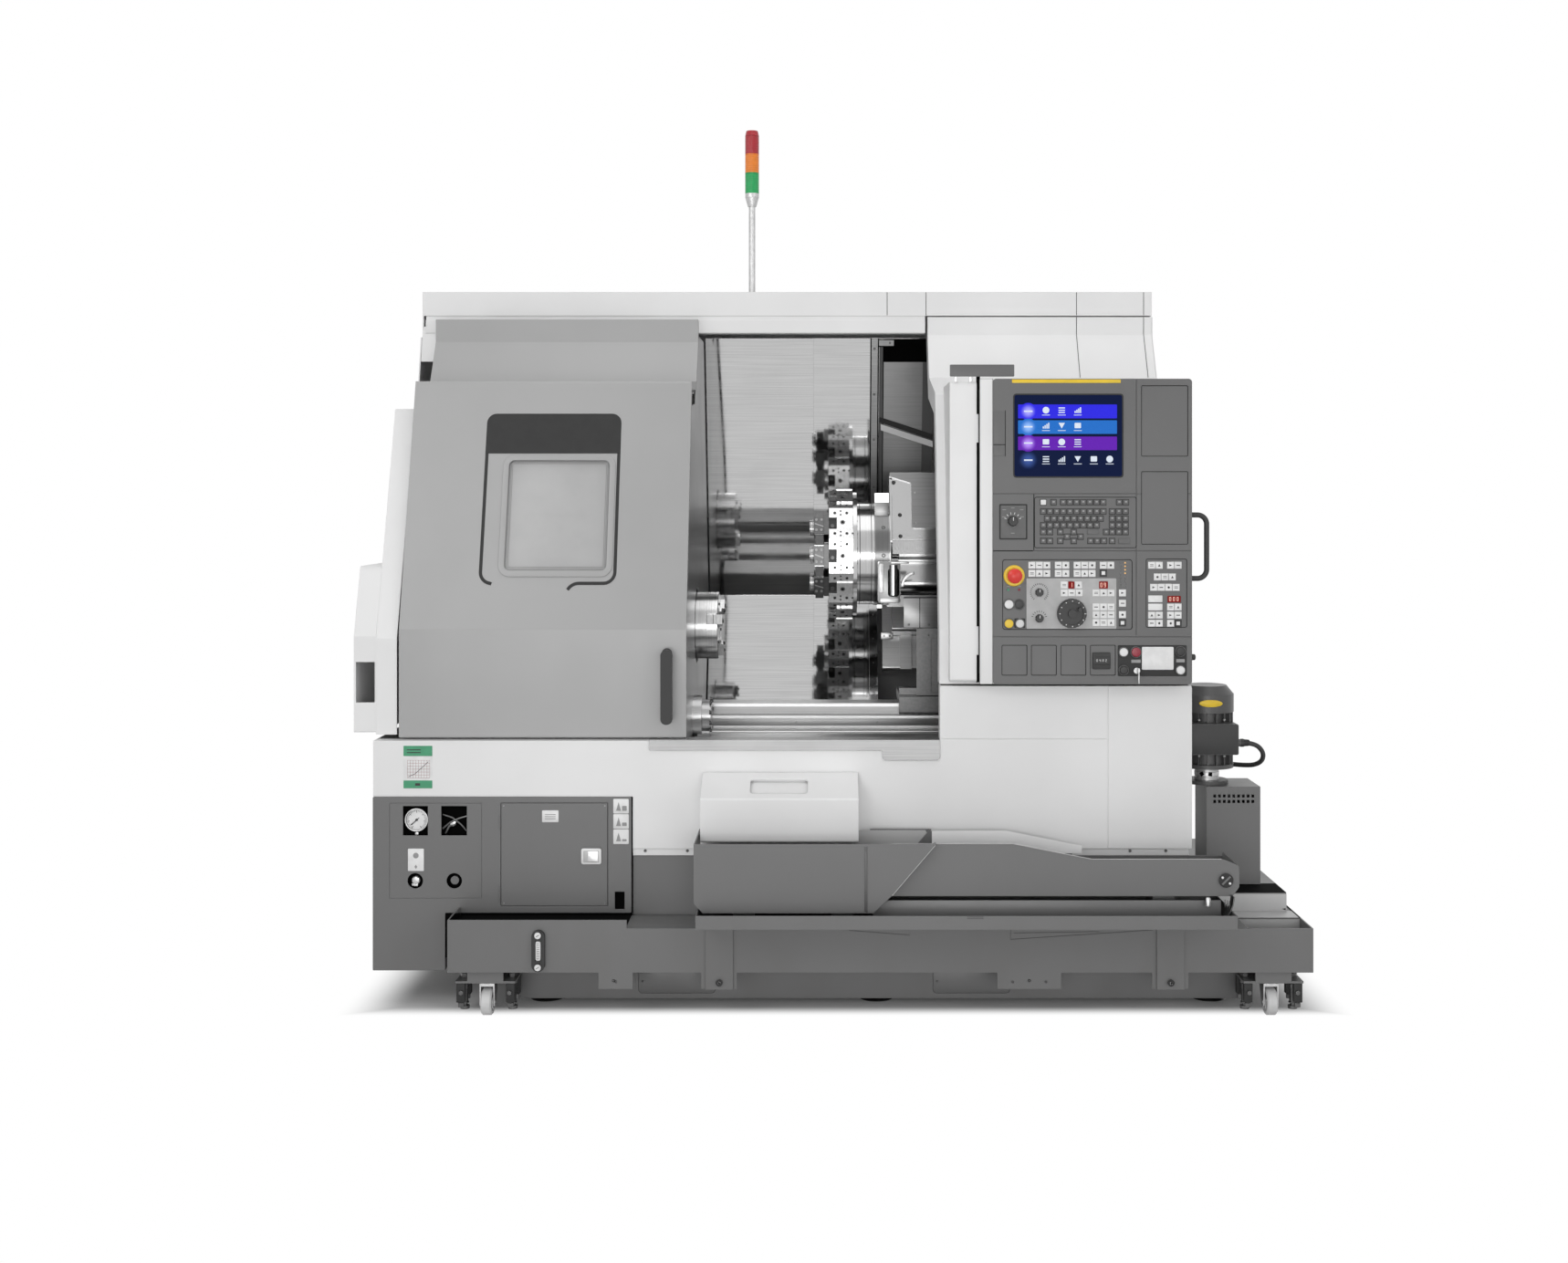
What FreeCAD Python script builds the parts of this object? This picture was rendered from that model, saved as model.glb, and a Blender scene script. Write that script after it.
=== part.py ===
import FreeCAD, Part
import math
import os

os.makedirs("parts", exist_ok=True)

# A slant-bed turning lathe with a sliding door, seen from the front along +Y.
# Origin: middle of the footprint, on the floor. +X is to the operator's right, +Z is up.

# Overall size
half_length = 1350.0
front_y = -925.0
back_y = 925.0
tower_top_z = 2633.0
roof_z = 2100.0

# Sheet-metal enclosure
sheet = 4.0
bend = 6.0
cover_left_x = -1285.0
cover_right_x = 1048.0
cover_front_y = -605.0
cover_back_y = 716.0
apron_bottom_z = 444.0
apron_top_z = 751.0
apron_right_top_z = 907.0
opening_left_x = -404.0
opening_right_x = 330.0
apron_seam_x = 809.0
apron_seam_z = 756.0
band_seams = (805.0, 1019.0)

# Sliding door
door_left_x = -1218.0
door_right_x = -395.0
door_profile = [(-580, 758), (-580, 1066), (-370, 1791), (-175, 1803), (-95, 1932), (-95, 2003)]
door_return = 26.0
window_x = (-932.0, -624.0)
window_height = (1227.0, 1560.0)

# Spindle and chuck
spindle_y = -68.0
spindle_z = 1042.0
spindle_radius = 60.0
chuck_radius = 105.0
chuck_back_x = -406.0
chuck_face_x = -330.0
jaw_tip_x = -316.0
first_jaw_angle = 165.0

# The slide directions: u climbs the slanted cross slide, v runs across it, away from the operator
slant_angle = math.radians(75.42)
slant_u = (math.cos(slant_angle), math.sin(slant_angle))
slant_v = (math.sin(slant_angle), -math.cos(slant_angle))

# Turret, in the slanted frame that starts on the spindle axis
turret_u = 230.4
turret_face_x = 15.0
turret_back_x = 102.0
turret_radius = 206.0
station_count = 12
holder_circle = 166.0
bed_face_v = 600.0
rail_height = 22.0
running_gap = 0.3

# Tailstock
tailstock_x = 285.0
tailstock_top_z = 1095.0
way_left_x = -386.0
way_right_x = 720.0
way_top_z = 807.0

# Guard beside the turret
guard_right_x = 368.0
guard_bottom_z = 1340.0

# Control pendant
pendant_y = -665.0
pendant_x = (475.0, 1036.0)
pendant_z = (918.0, 1779.0)
wing_x = 879.0
pivot_x = 434.0
pivot_y = -645.0
push_buttons = [(520.4, 1143.5, 13.0), (549.5, 1143.5, 13.0), (520.4, 1089.3, 13.0), (551.3, 1089.3, 12.0),
                (842.7, 1009.1, 12.4), (843.2, 958.5, 12.4), (877.7, 1009.1, 14.0), (1002.8, 1011.2, 13.0),
                (1002.8, 958.5, 12.4)]

# Coolant tank on casters
tank_y = -765.0
tank_left_x = -1040.0
tank_z = (133.0, 255.0)
tank_left_top_z = 278.0
wheel_radius = 37.5
wheel_width = 30.0
wheel_floor_gap = 0.2
caster_spots = {"left": (-939.0, -690.0), "right": (1245.0, -690.0)}
rear_caster_spot = (1264.0, 150.0)
jack_offset = 67.0
caster_trail = 15.0


def vec(x, y, z):
    return FreeCAD.Vector(x, y, z)


def block(x, y, z):
    """A block from three (low, high) ranges."""
    return Part.makeBox(x[1] - x[0], y[1] - y[0], z[1] - z[0], vec(x[0], y[0], z[0]))


def rod(start, direction, radius, length):
    return Part.makeCylinder(radius, length, vec(*start), vec(*direction))


def x_rod(x, y, z, radius):
    """A cylinder along X between the two ends in x."""
    return rod((x[0], y, z), (1, 0, 0), radius, x[1] - x[0])


def y_rod(x, y, z, radius):
    return rod((x, y[0], z), (0, 1, 0), radius, y[1] - y[0])


def z_rod(x, y, z, radius):
    return rod((x, y, z[0]), (0, 0, 1), radius, z[1] - z[0])


def unit(a, b):
    length = math.hypot(b[0] - a[0], b[1] - a[1])
    return ((b[0] - a[0]) / length, (b[1] - a[1]) / length)


def to_plane(point, plane, level):
    """Put a flat point into space: plane yz at X, xz at Y, or xy at Z equal to level."""
    if plane == "yz":
        return vec(level, point[0], point[1])
    if plane == "xz":
        return vec(point[0], level, point[1])
    return vec(point[0], point[1], level)


def rounded_outline(points, radii, plane, level):
    """A closed outline with an arc of its own radius at each corner."""
    edges = []
    stops = []
    count = len(points)
    for index, corner in enumerate(points):
        radius = radii[index]
        before = unit(corner, points[index - 1])
        after = unit(corner, points[(index + 1) % count])
        cosine = max(-1.0, min(1.0, before[0] * after[0] + before[1] * after[1]))
        half_turn = math.acos(cosine) / 2
        if radius < 0.01 or abs(math.cos(half_turn)) < 0.01:
            stops.append((corner, corner, corner))
            continue
        reach = radius / math.tan(half_turn)
        middle = unit((0, 0), (before[0] + after[0], before[1] + after[1]))
        depth = radius / math.sin(half_turn) - radius
        stops.append((
            (corner[0] + before[0] * reach, corner[1] + before[1] * reach),
            (corner[0] + middle[0] * depth, corner[1] + middle[1] * depth),
            (corner[0] + after[0] * reach, corner[1] + after[1] * reach),
        ))
    for index, (entry, middle, leave) in enumerate(stops):
        if entry != leave:
            arc = [to_plane(point, plane, level) for point in (entry, middle, leave)]
            edges.append(Part.Arc(*arc).toShape())
        start = to_plane(leave, plane, level)
        end = to_plane(stops[(index + 1) % count][0], plane, level)
        if start.distanceToPoint(end) > 0.001:
            edges.append(Part.makeLine(start, end))
    return Part.Wire(edges)


def prism(points, plane, span, radius=0.0):
    """A profile in one plane, drawn out along the third axis over span."""
    radii = radius if isinstance(radius, list) else [radius] * len(points)
    face = Part.Face(rounded_outline(points, radii, plane, span[0]))
    length = span[1] - span[0]
    direction = {"yz": vec(length, 0, 0), "xz": vec(0, length, 0), "xy": vec(0, 0, length)}[plane]
    return face.extrude(direction)


def shifted_path(path, distance):
    """The path moved sideways by distance, to its right, with mitred corners."""
    moved = []
    for index, point in enumerate(path):
        sides = []
        if index > 0:
            sides.append(unit(path[index - 1], point))
        if index < len(path) - 1:
            sides.append(unit(point, path[index + 1]))
        normals = [(side[1], -side[0]) for side in sides]
        total = (sum(n[0] for n in normals), sum(n[1] for n in normals))
        scale = 2.0 / (total[0] ** 2 + total[1] ** 2) if len(normals) == 2 else 1.0
        moved.append((point[0] + total[0] * distance * scale, point[1] + total[1] * distance * scale))
    return moved


def folded_sheet(path, x, thickness=sheet, radius=bend):
    """Sheet metal folded along a YZ path, with true bend radii inside and out."""
    inner = shifted_path(path, thickness)
    radii = []
    for index in range(len(path)):
        if index in (0, len(path) - 1):
            radii.append((0.0, 0.0))
            continue
        a = unit(path[index - 1], path[index])
        b = unit(path[index], path[index + 1])
        turns_right = a[0] * b[1] - a[1] * b[0] < 0
        radii.append((radius + thickness, radius) if turns_right else (radius, radius + thickness))
    outline = list(path) + inner[::-1]
    corner_radii = [pair[0] for pair in radii] + [pair[1] for pair in radii[::-1]]
    return prism(outline, "yz", x, corner_radii)


def slanted(u, v):
    """A (Y, Z) point from the slanted frame of the cross slide."""
    return (
        spindle_y + u * slant_u[0] + v * slant_v[0],
        spindle_z + u * slant_u[1] + v * slant_v[1],
    )


def slant_block(x, u, v, radius=0.0):
    corners = [slanted(u[0], v[0]), slanted(u[1], v[0]), slanted(u[1], v[1]), slanted(u[0], v[1])]
    return prism(corners, "yz", x, radius)


def slant_prism(points, x, radius=0.0):
    return prism([slanted(*point) for point in points], "yz", x, radius)


def slant_plate(points, v, radius=0.0):
    """A plate drawn with X and u, laid across the slanted frame over a range of v."""
    plate = prism(points, "xz", v, radius)
    plate.rotate(vec(0, 0, 0), vec(1, 0, 0), math.degrees(slant_angle) - 90)
    plate.translate(vec(0, spindle_y, spindle_z))
    return plate


def joined(shapes):
    return shapes[0].multiFuse(shapes[1:]).removeSplitter()


def hexagon(centre, radius, plane, span):
    points = []
    for step in range(6):
        angle = math.radians(60 * step)
        points.append((centre[0] + radius * math.cos(angle), centre[1] + radius * math.sin(angle)))
    return prism(points, plane, span)


def save(name, shape):
    if not shape.isValid():
        print("invalid solid:", name)
    shape.exportStep(os.path.join("parts", name + ".step"))


# ---- Bed and headstock

def base_bed():
    """Cast bed: skid, pedestal and a slanted back that carries two guide rails."""
    low_face = slanted(-60, bed_face_v)
    high_face = slanted(500, bed_face_v)
    high_back = slanted(500, bed_face_v + 70)
    pedestal = prism(
        [(-596, 118), (-596, 436), (-480, 436), (-480, 640), (430, 640), low_face, high_face,
         high_back, (706, 1290), (706, 118)],
        "yz", (-545, 1040), [0, 12, 12, 20, 30, 0, 6, 20, 0, 0])
    headstock_seat = block((-867, -545), (-320, 706), (118, 640))
    skid = block((-867, 1177), (-600, 560), (16, 118))
    rails = []
    for u in (30, 420):
        rails.append(slant_block((-390, 980), (u - 17, u + 17), (bed_face_v - rail_height, bed_face_v + 1)))
    pockets = []
    for x in (-420, 420):
        pockets.append(prism([(x - 110, 30), (x + 110, 30), (x + 110, 100), (x - 110, 100)],
                             "xz", (-601, 561), 12))
    return joined([pedestal, headstock_seat, skid] + rails).cut(Part.makeCompound(pockets))


def levelling_pads():
    """Cast feet under the skid, each with a domed washer and a short stud."""
    pads = []
    for x in (-800, 150, 1110):
        for y in (-530, 490):
            foot = Part.makeCone(48, 36, 11, vec(x, y, 0))
            stud = z_rod(x, y, (11, 16), 16)
            pads.append(foot.fuse(stud))
    return Part.makeCompound(pads)


def headstock():
    """Ribbed casting with a running bore for the spindle and a round nose."""
    body = prism([(-250, 642), (-250, 1090), (-170, 1250), (60, 1290), (280, 1180), (280, 642)],
                 "yz", (-850, -440), [0, 30, 40, 60, 40, 0])
    nose = x_rod((-442, -410), spindle_y, spindle_z, 112)
    foot = block((-860, -430), (-300, 320), (640, 676))
    ribs = []
    for x in (-800, -700, -600, -500):
        ribs.append(prism([(-296, 676), (-250, 676), (-250, 900)], "yz", (x - 9, x + 9)))
    solid = joined([body, nose, foot] + ribs)
    return solid.cut(x_rod((-861, -409), spindle_y, spindle_z, spindle_radius + 0.05))


# ---- Enclosure

def left_front_cover():
    """Fixed cover behind the open door, folded to the door's profile."""
    path = shifted_path(door_profile, 34)
    path[0] = (path[0][0], apron_top_z)
    path[-1] = (path[-1][0], 1962)
    return folded_sheet(path, (-1222, opening_left_x))


def left_end_cover():
    """Left end: a side plate with the front edge folded round."""
    front = [(-570, 764), (-570, 1039), (-340, 1710), (-62, 1710)]
    side = prism([(-566, 764), (-566, 1039), (-337, 1706), (-62, 1706), (-4, 1955),
                  (cover_back_y, 1955), (cover_back_y, 764)], "yz", (-1286, -1282))
    strip = folded_sheet(front, (-1286, -1226))
    return joined([side, strip])


def motor_cover():
    """Housing over the spindle motor on the left end, open towards the end cover."""
    outline = [(-568, 770), (-568, 1045), (-497, 1245), (-120, 1245), (-90, 1215), (-90, 800), (-120, 770)]
    radii = [4, 10, 20, 12, 12, 12, 12]
    shell = prism(outline, "yz", (-half_length, -1286.2), radii)
    hollow = prism([(-564, 774), (-564, 1044), (-494, 1241), (-122, 1241), (-94, 1213), (-94, 802),
                    (-122, 774)], "yz", (-half_length + sheet, -1286), radii)
    intake = block((-half_length + 6, -1290), (-570, -560), (856, 972))
    louvres = []
    for step in range(6):
        z = 880 + 44 * step
        louvres.append(prism([(-330, z), (-170, z), (-170, z + 12), (-330, z + 12)],
                             "yz", (-half_length - 1, -half_length + 5), 5.9))
    return shell.cut(hollow).cut(intake).cut(Part.makeCompound(louvres))


def front_lower_cover():
    """Lower apron that wraps round both ends, stepped for the cabinet and the chute."""
    right_plate = cover_right_x - sheet
    front = prism(
        [(cover_left_x, 592), (cover_left_x, apron_top_z), (opening_right_x, apron_top_z),
         (opening_right_x, apron_right_top_z), (cover_right_x, apron_right_top_z),
         (cover_right_x, apron_bottom_z), (-545, apron_bottom_z), (-545, 592)],
        "xz", (cover_front_y, cover_front_y + sheet), [0, 0, 0, 6, 6, 0, 0, 0])
    back = cover_front_y + sheet
    left = prism([(back, 592), (back, apron_top_z), (cover_back_y, apron_top_z), (cover_back_y, 132),
                  (-324, 132), (-324, 592)], "yz", (cover_left_x, cover_left_x + sheet))
    right = prism([(back, apron_bottom_z), (back, apron_right_top_z), (cover_back_y, apron_right_top_z),
                   (cover_back_y, 322), (-560, 322), (-560, apron_bottom_z)], "yz", (right_plate, cover_right_x))
    ledge = block((cover_left_x, opening_right_x), (back, -549), (apron_top_z - sheet, apron_top_z))
    shelf = block((opening_right_x, cover_right_x), (back, -582), (apron_right_top_z - sheet, apron_right_top_z))
    jamb = block((opening_right_x, opening_right_x + sheet), (back, -549), (apron_top_z - sheet, apron_right_top_z))
    hem = block((-545, cover_right_x), (back, -597), (apron_bottom_z, apron_bottom_z + sheet))
    rail = block((-545, cover_right_x - 8), (back, back + 3), (424, apron_bottom_z + 1))
    chute = prism([(-330, 494), (82, 494), (82, 645), (-330, 645)], "xz", (cover_front_y - 1, back + 1), 10)
    groove = (cover_front_y - 1, cover_front_y + 1.5)
    tall_seam = block((apron_seam_x - 1, apron_seam_x + 1), groove, (apron_bottom_z - 1, apron_right_top_z + 1))
    long_seam = block((opening_right_x + 3, apron_seam_x), groove, (apron_seam_z - 1, apron_seam_z + 1))
    shape = joined([front, left, right, ledge, shelf, jamb, hem, rail])
    return shape.cut(Part.makeCompound([chute, tall_seam, long_seam]))


def sill_plate():
    """Stainless sill with a front lip and a deeper tab, folded over the apron's edge."""
    lip_y = cover_front_y - sheet
    lip = prism([(-499, 724), (166, 724), (166, 696), (opening_right_x, 696), (opening_right_x, 752),
                 (-499, 752)], "xz", (lip_y, cover_front_y), [4, 6, 10, 10, 0, 0])
    top = folded_sheet([(cover_front_y, apron_top_z + 3), (-548, apron_top_z + 3), (-520, 744)],
                       (-392, opening_right_x), 3, 3)
    bridge = block((-499, opening_right_x), (lip_y, cover_front_y + 0.5), (apron_top_z, apron_top_z + 3))
    return joined([lip, top, bridge])


def roof_cover():
    """Roof tray with deep skirts, carrying the door's top rail."""
    left = -1281.0
    right = 1045.0
    outer = block((left, right), (0, cover_back_y), (2024, roof_z))
    inner = block((left + sheet, right - sheet), (sheet, cover_back_y - sheet), (2020, roof_z - sheet))
    left_skirt = block((left, left + sheet), (0, cover_back_y), (1959, 2030))
    rail = prism([(4, 2026), (4, 2010), (-4, 2010), (-4, 1969), (10, 1969), (10, 1998), (32, 1998),
                  (32, 1969), (44, 1969), (44, 2026)], "yz", (-1270, 322))
    seams = [block((x - 0.8, x + 0.8), (-1, 1), (2023, roof_z + 1)) for x in (201.0, 325.0) + band_seams]
    return joined([outer.cut(inner), left_skirt, rail]).cut(Part.makeCompound(seams))


def right_front_cover():
    """Right front cover folded like the door, with a jamb and the pendant's column."""
    path = [(-585, 911), (-585, 1066), (-385, 1756), (-80, 1821), (0, 1963), (0, 2020)]
    skin = folded_sheet(path, (opening_right_x, 1044))
    jamb = prism(path + shifted_path(path, 70)[::-1], "yz", (opening_right_x, opening_right_x + sheet))
    column = prism([(-647, 924), (-647, 1772), (-381, 1772), (-581.5, 1067), (-581.5, 924)],
                   "yz", (355, 431), [8, 14, 0, 0, 8])
    barrels = [z_rod(pivot_x, pivot_y, z, 3) for z in ((1000, 1080), (1600, 1680))]
    lugs = [block((430, pivot_x), (pivot_y - 3, pivot_y + 3), z) for z in ((1000, 1080), (1600, 1680))]
    seams = [block((x - 1, x + 1), (-1, 1), (1962, 2021)) for x in band_seams]
    return joined([skin, jamb, column] + barrels + lugs).cut(Part.makeCompound(seams))


def right_end_cover():
    """Right end plate with a grille of louvres."""
    plate = prism([(-580, 911), (-580, 1066), (-380, 1751), (-75, 1816), (5, 1958), (5, 2020),
                   (cover_back_y, 2020), (cover_back_y, 911)], "yz", (1044.1, 1048))
    slots = []
    for column in range(2):
        for step in range(7):
            y = 120 + 250 * column
            z = 1520 + 34 * step
            slots.append(prism([(y, z), (y + 190, z), (y + 190, z + 12), (y, z + 12)],
                               "yz", (1044, 1049), 5.9))
    return plate.cut(Part.makeCompound(slots))


def rear_cabinet():
    """Rear wall with the electrical cabinet: three doors, louvres and lift-off handles."""
    wall = block((-1280, 1044), (cover_back_y, cover_back_y + sheet), (132, 2092))
    body = prism([(-1000, 160), (900, 160), (900, 1900), (-1000, 1900)], "xz",
                 (cover_back_y + sheet, back_y - 6), 12)
    doors = []
    cuts = []
    for index in range(3):
        left = -990 + 628 * index
        door = (left + 4, left + 620)
        doors.append(prism([(door[0], 172), (door[1], 172), (door[1], 1888), (door[0], 1888)],
                           "xz", (back_y - 7, back_y), 10))
        latch_x = door[1] - 60
        cuts.append(prism([(latch_x, 980), (latch_x + 30, 980), (latch_x + 30, 1100), (latch_x, 1100)],
                          "xz", (back_y - 5, back_y + 1), 8))
        for step in range(8):
            z = 300 + 30 * step
            cuts.append(prism([(left + 160, z), (left + 460, z), (left + 460, z + 10), (left + 160, z + 10)],
                              "xz", (back_y - 5, back_y + 1), 4.9))
    return joined([wall, body] + doors).cut(Part.makeCompound(cuts))


# ---- Chamber

def cover_path(offset):
    """The vee-shaped back wall, bent at mid height, moved back by offset."""
    return [(355 + offset, 750), (500 + offset, 1105), (250 + offset, 1975)]


def chamber_liner():
    """Left wall, pan and stepped tailstock way with its end flange and drip lips."""
    wall = prism([(-506, 700), (-506, 1052), (-322, 1720), (-150, 1735), (-50, 1900), (-50, 1960),
                  (238, 1960), (480, 1105), (335, 750), (315, 699)], "yz", (-404, -400))
    wall = wall.cut(x_rod((-405, -399), spindle_y, spindle_z, 118))
    pan = folded_sheet([(-506, 742), (-500, 700), (315, 700)], (-404, 740))
    end = prism([(-506, 700), (-506, 900), (-300, 900), (300, 900), (315, 700)], "yz", (736, 740))
    way = prism([(-260, 698), (-260, 735), (-190, 735), (-190, 773), (-150, 773), (-150, way_top_z),
                 (-60, way_top_z), (-60, 698)], "yz", (way_left_x, way_right_x), [0, 8, 0, 5, 0, 5, 5, 0])
    front_lip = prism([(-400, 698), (-400, 724), (-352, 738), (-300, 738), (-300, 698)],
                      "yz", (-340, way_right_x), [0, 10, 12, 12, 0])
    edge_lip = x_rod((-340, way_right_x), -430, 722, 14).fuse(block((-340, way_right_x), (-436, -424), (698, 722)))
    flange = x_rod((-400, -372), -225, 776, 64).fuse(x_rod((-374, -345), -225, 776, 46))
    flange = flange.common(block((-400, -340), (-300, -150), (698, 850)))
    return joined([wall, pan, end, way, front_lip, edge_lip, flange])


def way_cover_right():
    """Leading telescopic cover, screwed to the saddle, with a framed right edge."""
    skin = folded_sheet(cover_path(0), (-36, 183), 3, 3)
    edge = folded_sheet(cover_path(-9), (154, 183), 9, 2)
    tab = block((182, 200), (505, 524), (1060, 1150))
    tie = block((160, 183), (500, 512), (1060, 1150))
    bend_point, top_point = cover_path(0)[1:]
    run = (bend_point[0] - top_point[0]) / (top_point[1] - bend_point[1])
    foot = (top_point[0] + run * (top_point[1] - guard_bottom_z), guard_bottom_z)
    guard = folded_sheet([foot, top_point], (182, guard_right_x), 3, 3)
    bar = folded_sheet(shifted_path([foot, top_point], -12), (190, guard_right_x), 12.5, 2)
    slope = [(190, 1692), (guard_right_x, 1635), (guard_right_x, 1616), (190, 1673)]
    bar = bar.common(prism(slope, "xz", (200, 500)))
    return joined([skin, edge, tab, tie, guard, bar])


def way_cover_left():
    """Trailing telescopic cover that follows at half speed behind the leading one."""
    return folded_sheet(cover_path(8), (-396, -30), 3, 3)


# ---- Spindle

def chuck_slot_block(angle, x, radial, width):
    """A block lying along one radius of the chuck."""
    piece = block(x, (-width / 2, width / 2), radial)
    piece.rotate(vec(0, 0, 0), vec(1, 0, 0), angle - 90)
    piece.translate(vec(0, spindle_y, spindle_z))
    return piece


def jaw_angle(index):
    return first_jaw_angle + 120 * index


def spindle_chuck():
    """Spindle with a drive pulley and a three-jaw chuck on its nose."""
    shaft = x_rod((-900, chuck_back_x), spindle_y, spindle_z, spindle_radius)
    body = x_rod((chuck_back_x, chuck_face_x), spindle_y, spindle_z, chuck_radius)
    face_rim = [edge for edge in body.Edges if edge.CenterOfMass.x > chuck_face_x - 1]
    body = body.makeFillet(3, face_rim[:1])
    pulley = x_rod((-930, -870), spindle_y, spindle_z, 120)
    for step in range(3):
        ring = x_rod((-920 + 16 * step, -912 + 16 * step), spindle_y, spindle_z, 121)
        ring = ring.cut(x_rod((-921 + 16 * step, -911 + 16 * step), spindle_y, spindle_z, 110))
        pulley = pulley.cut(ring)
    shape = joined([shaft, body, pulley])
    shape = shape.cut(x_rod((-931, chuck_face_x + 1), spindle_y, spindle_z, 26))
    for index in range(3):
        slot = chuck_slot_block(jaw_angle(index), (-364, chuck_face_x + 1), (30, chuck_radius + 2), 34.6)
        shape = shape.cut(slot)
    return shape


def jaw(index):
    """A stepped jaw that slides in its radial slot."""
    angle = jaw_angle(index)
    key = chuck_slot_block(angle, (-363.6, -334), (40, 92), 34)
    top = chuck_slot_block(angle, (-334, jaw_tip_x), (44, 96), 30)
    step = chuck_slot_block(angle, (-325, jaw_tip_x + 1), (43, 58), 31)
    screws = []
    for radial in (68, 86):
        piece = x_rod((-321, jaw_tip_x + 1), 0, radial, 5)
        piece.rotate(vec(0, 0, 0), vec(1, 0, 0), angle - 90)
        piece.translate(vec(0, spindle_y, spindle_z))
        screws.append(piece)
    return joined([key, top]).cut(step).cut(Part.makeCompound(screws))


# ---- Carriage and turret

def saddle():
    """Saddle plate on the slanted rails, with runner blocks behind and two ways in front."""
    face = bed_face_v - rail_height - running_gap
    plate = slant_block((200, 620), (-60, 560), (522, face), 12)
    runners = []
    for u in (30, 420):
        for x in ((210, 320), (500, 610)):
            runner = slant_block(x, (u - 42, u + 42), (face - 1, bed_face_v - 2))
            channel = slant_block((x[0] - 1, x[1] + 1), (u - 17 - running_gap, u + 17 + running_gap),
                                  (face, bed_face_v))
            runners.append(runner.cut(channel))
    ways = [slant_block(x, (-60, 560), (500, 523)) for x in ((260, 300), (520, 560))]
    return joined([plate] + runners + ways)


def cross_slide():
    """Cross slide: a base on the saddle's ways and an arm that reaches over the chamber."""
    base = slant_block((230, 600), (60, 400), (430, 521), 10)
    for x in ((260, 300), (520, 560)):
        base = base.cut(slant_block((x[0] - running_gap, x[1] + running_gap), (50, 410),
                                    (500 - running_gap, 530)))
    arm = slant_prism([(110, -140), (400, -140), (400, 431), (60, 431), (60, 200)], (386, 580), 24)
    window = slant_prism([(130, 100), (340, 100), (340, 380), (120, 380)], (420, 581), 20)
    rails = [slant_block((372, 387), u, (-140, 240)) for u in ((150, 180), (290, 320))]
    return joined([base, arm.cut(window)] + rails)


def turret_housing():
    """Turret body: round drum, clamp ring, a casting with screwed covers and a supply block."""
    centre = slanted(turret_u, 0)
    drum = x_rod((turret_back_x + 1, 156), centre[0], centre[1], 160)
    ring = x_rod((155, 206), centre[0], centre[1], 162)
    body = slant_prism([(92, -60), (92, 200), (462, 200), (462, -118), (240, -118), (200, -60)],
                       (205, 385.5), [40, 30, 30, 16, 16, 20])
    plate = slant_prism([(244, -114), (458, -114), (458, -131), (244, -131)], (213, 366), [0, 0, 3, 3])
    for u in ((150, 180), (290, 320)):
        body = body.cut(slant_block((372 - running_gap, 387), (u[0] - running_gap, u[1] + running_gap),
                                    (-150, 260)))
    guard = slant_plate([(206, 461), (206, 449), (212, 446), (272, 427), (272, 281), (366, 281), (366, 461)],
                        (-138, -130.5), [0, 0, 0, 4, 12, 0, 0])
    supply = prism([(166, 1118), (236, 1118), (236, 1246), (166, 1246)], "xz", (-180, -84), [10, 10, 3, 3])
    pipe = z_rod(214, -176, (1142, 1236), 14)
    top_block = block((158, 202), (-116, -30), (1380, 1458))
    screws = []
    for x, u, front, radius in ((218, 431, -132, 8), (237, 325, -132, 6), (238, 257, -132, 6),
                                (284, 395, -139, 5), (285, 296, -139, 5)):
        y, z = slanted(u, front)
        screws.append(Part.makeCylinder(radius, 5, vec(x, y, z), vec(0, slant_v[0], slant_v[1])))
    shape = joined([drum, ring, body, plate, guard, supply, pipe, top_block]).cut(Part.makeCompound(screws))
    return shape.cut(x_rod((turret_back_x, 191), centre[0], centre[1], 50.05))


def station_point(angle, radial, across):
    """A (Y, Z) point on the turret from a station's angle, counted from the operator's side."""
    centre = slanted(turret_u, 0)
    turn = math.radians(180 - angle)
    return (
        centre[0] + radial * math.cos(turn) - across * math.sin(turn),
        centre[1] + radial * math.sin(turn) + across * math.cos(turn),
    )


def station_block(angle, x, radial, width):
    corners = [(radial[0], -width / 2), (radial[1], -width / 2), (radial[1], width / 2), (radial[0], width / 2)]
    return prism([station_point(angle, *corner) for corner in corners], "yz", x)


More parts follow.
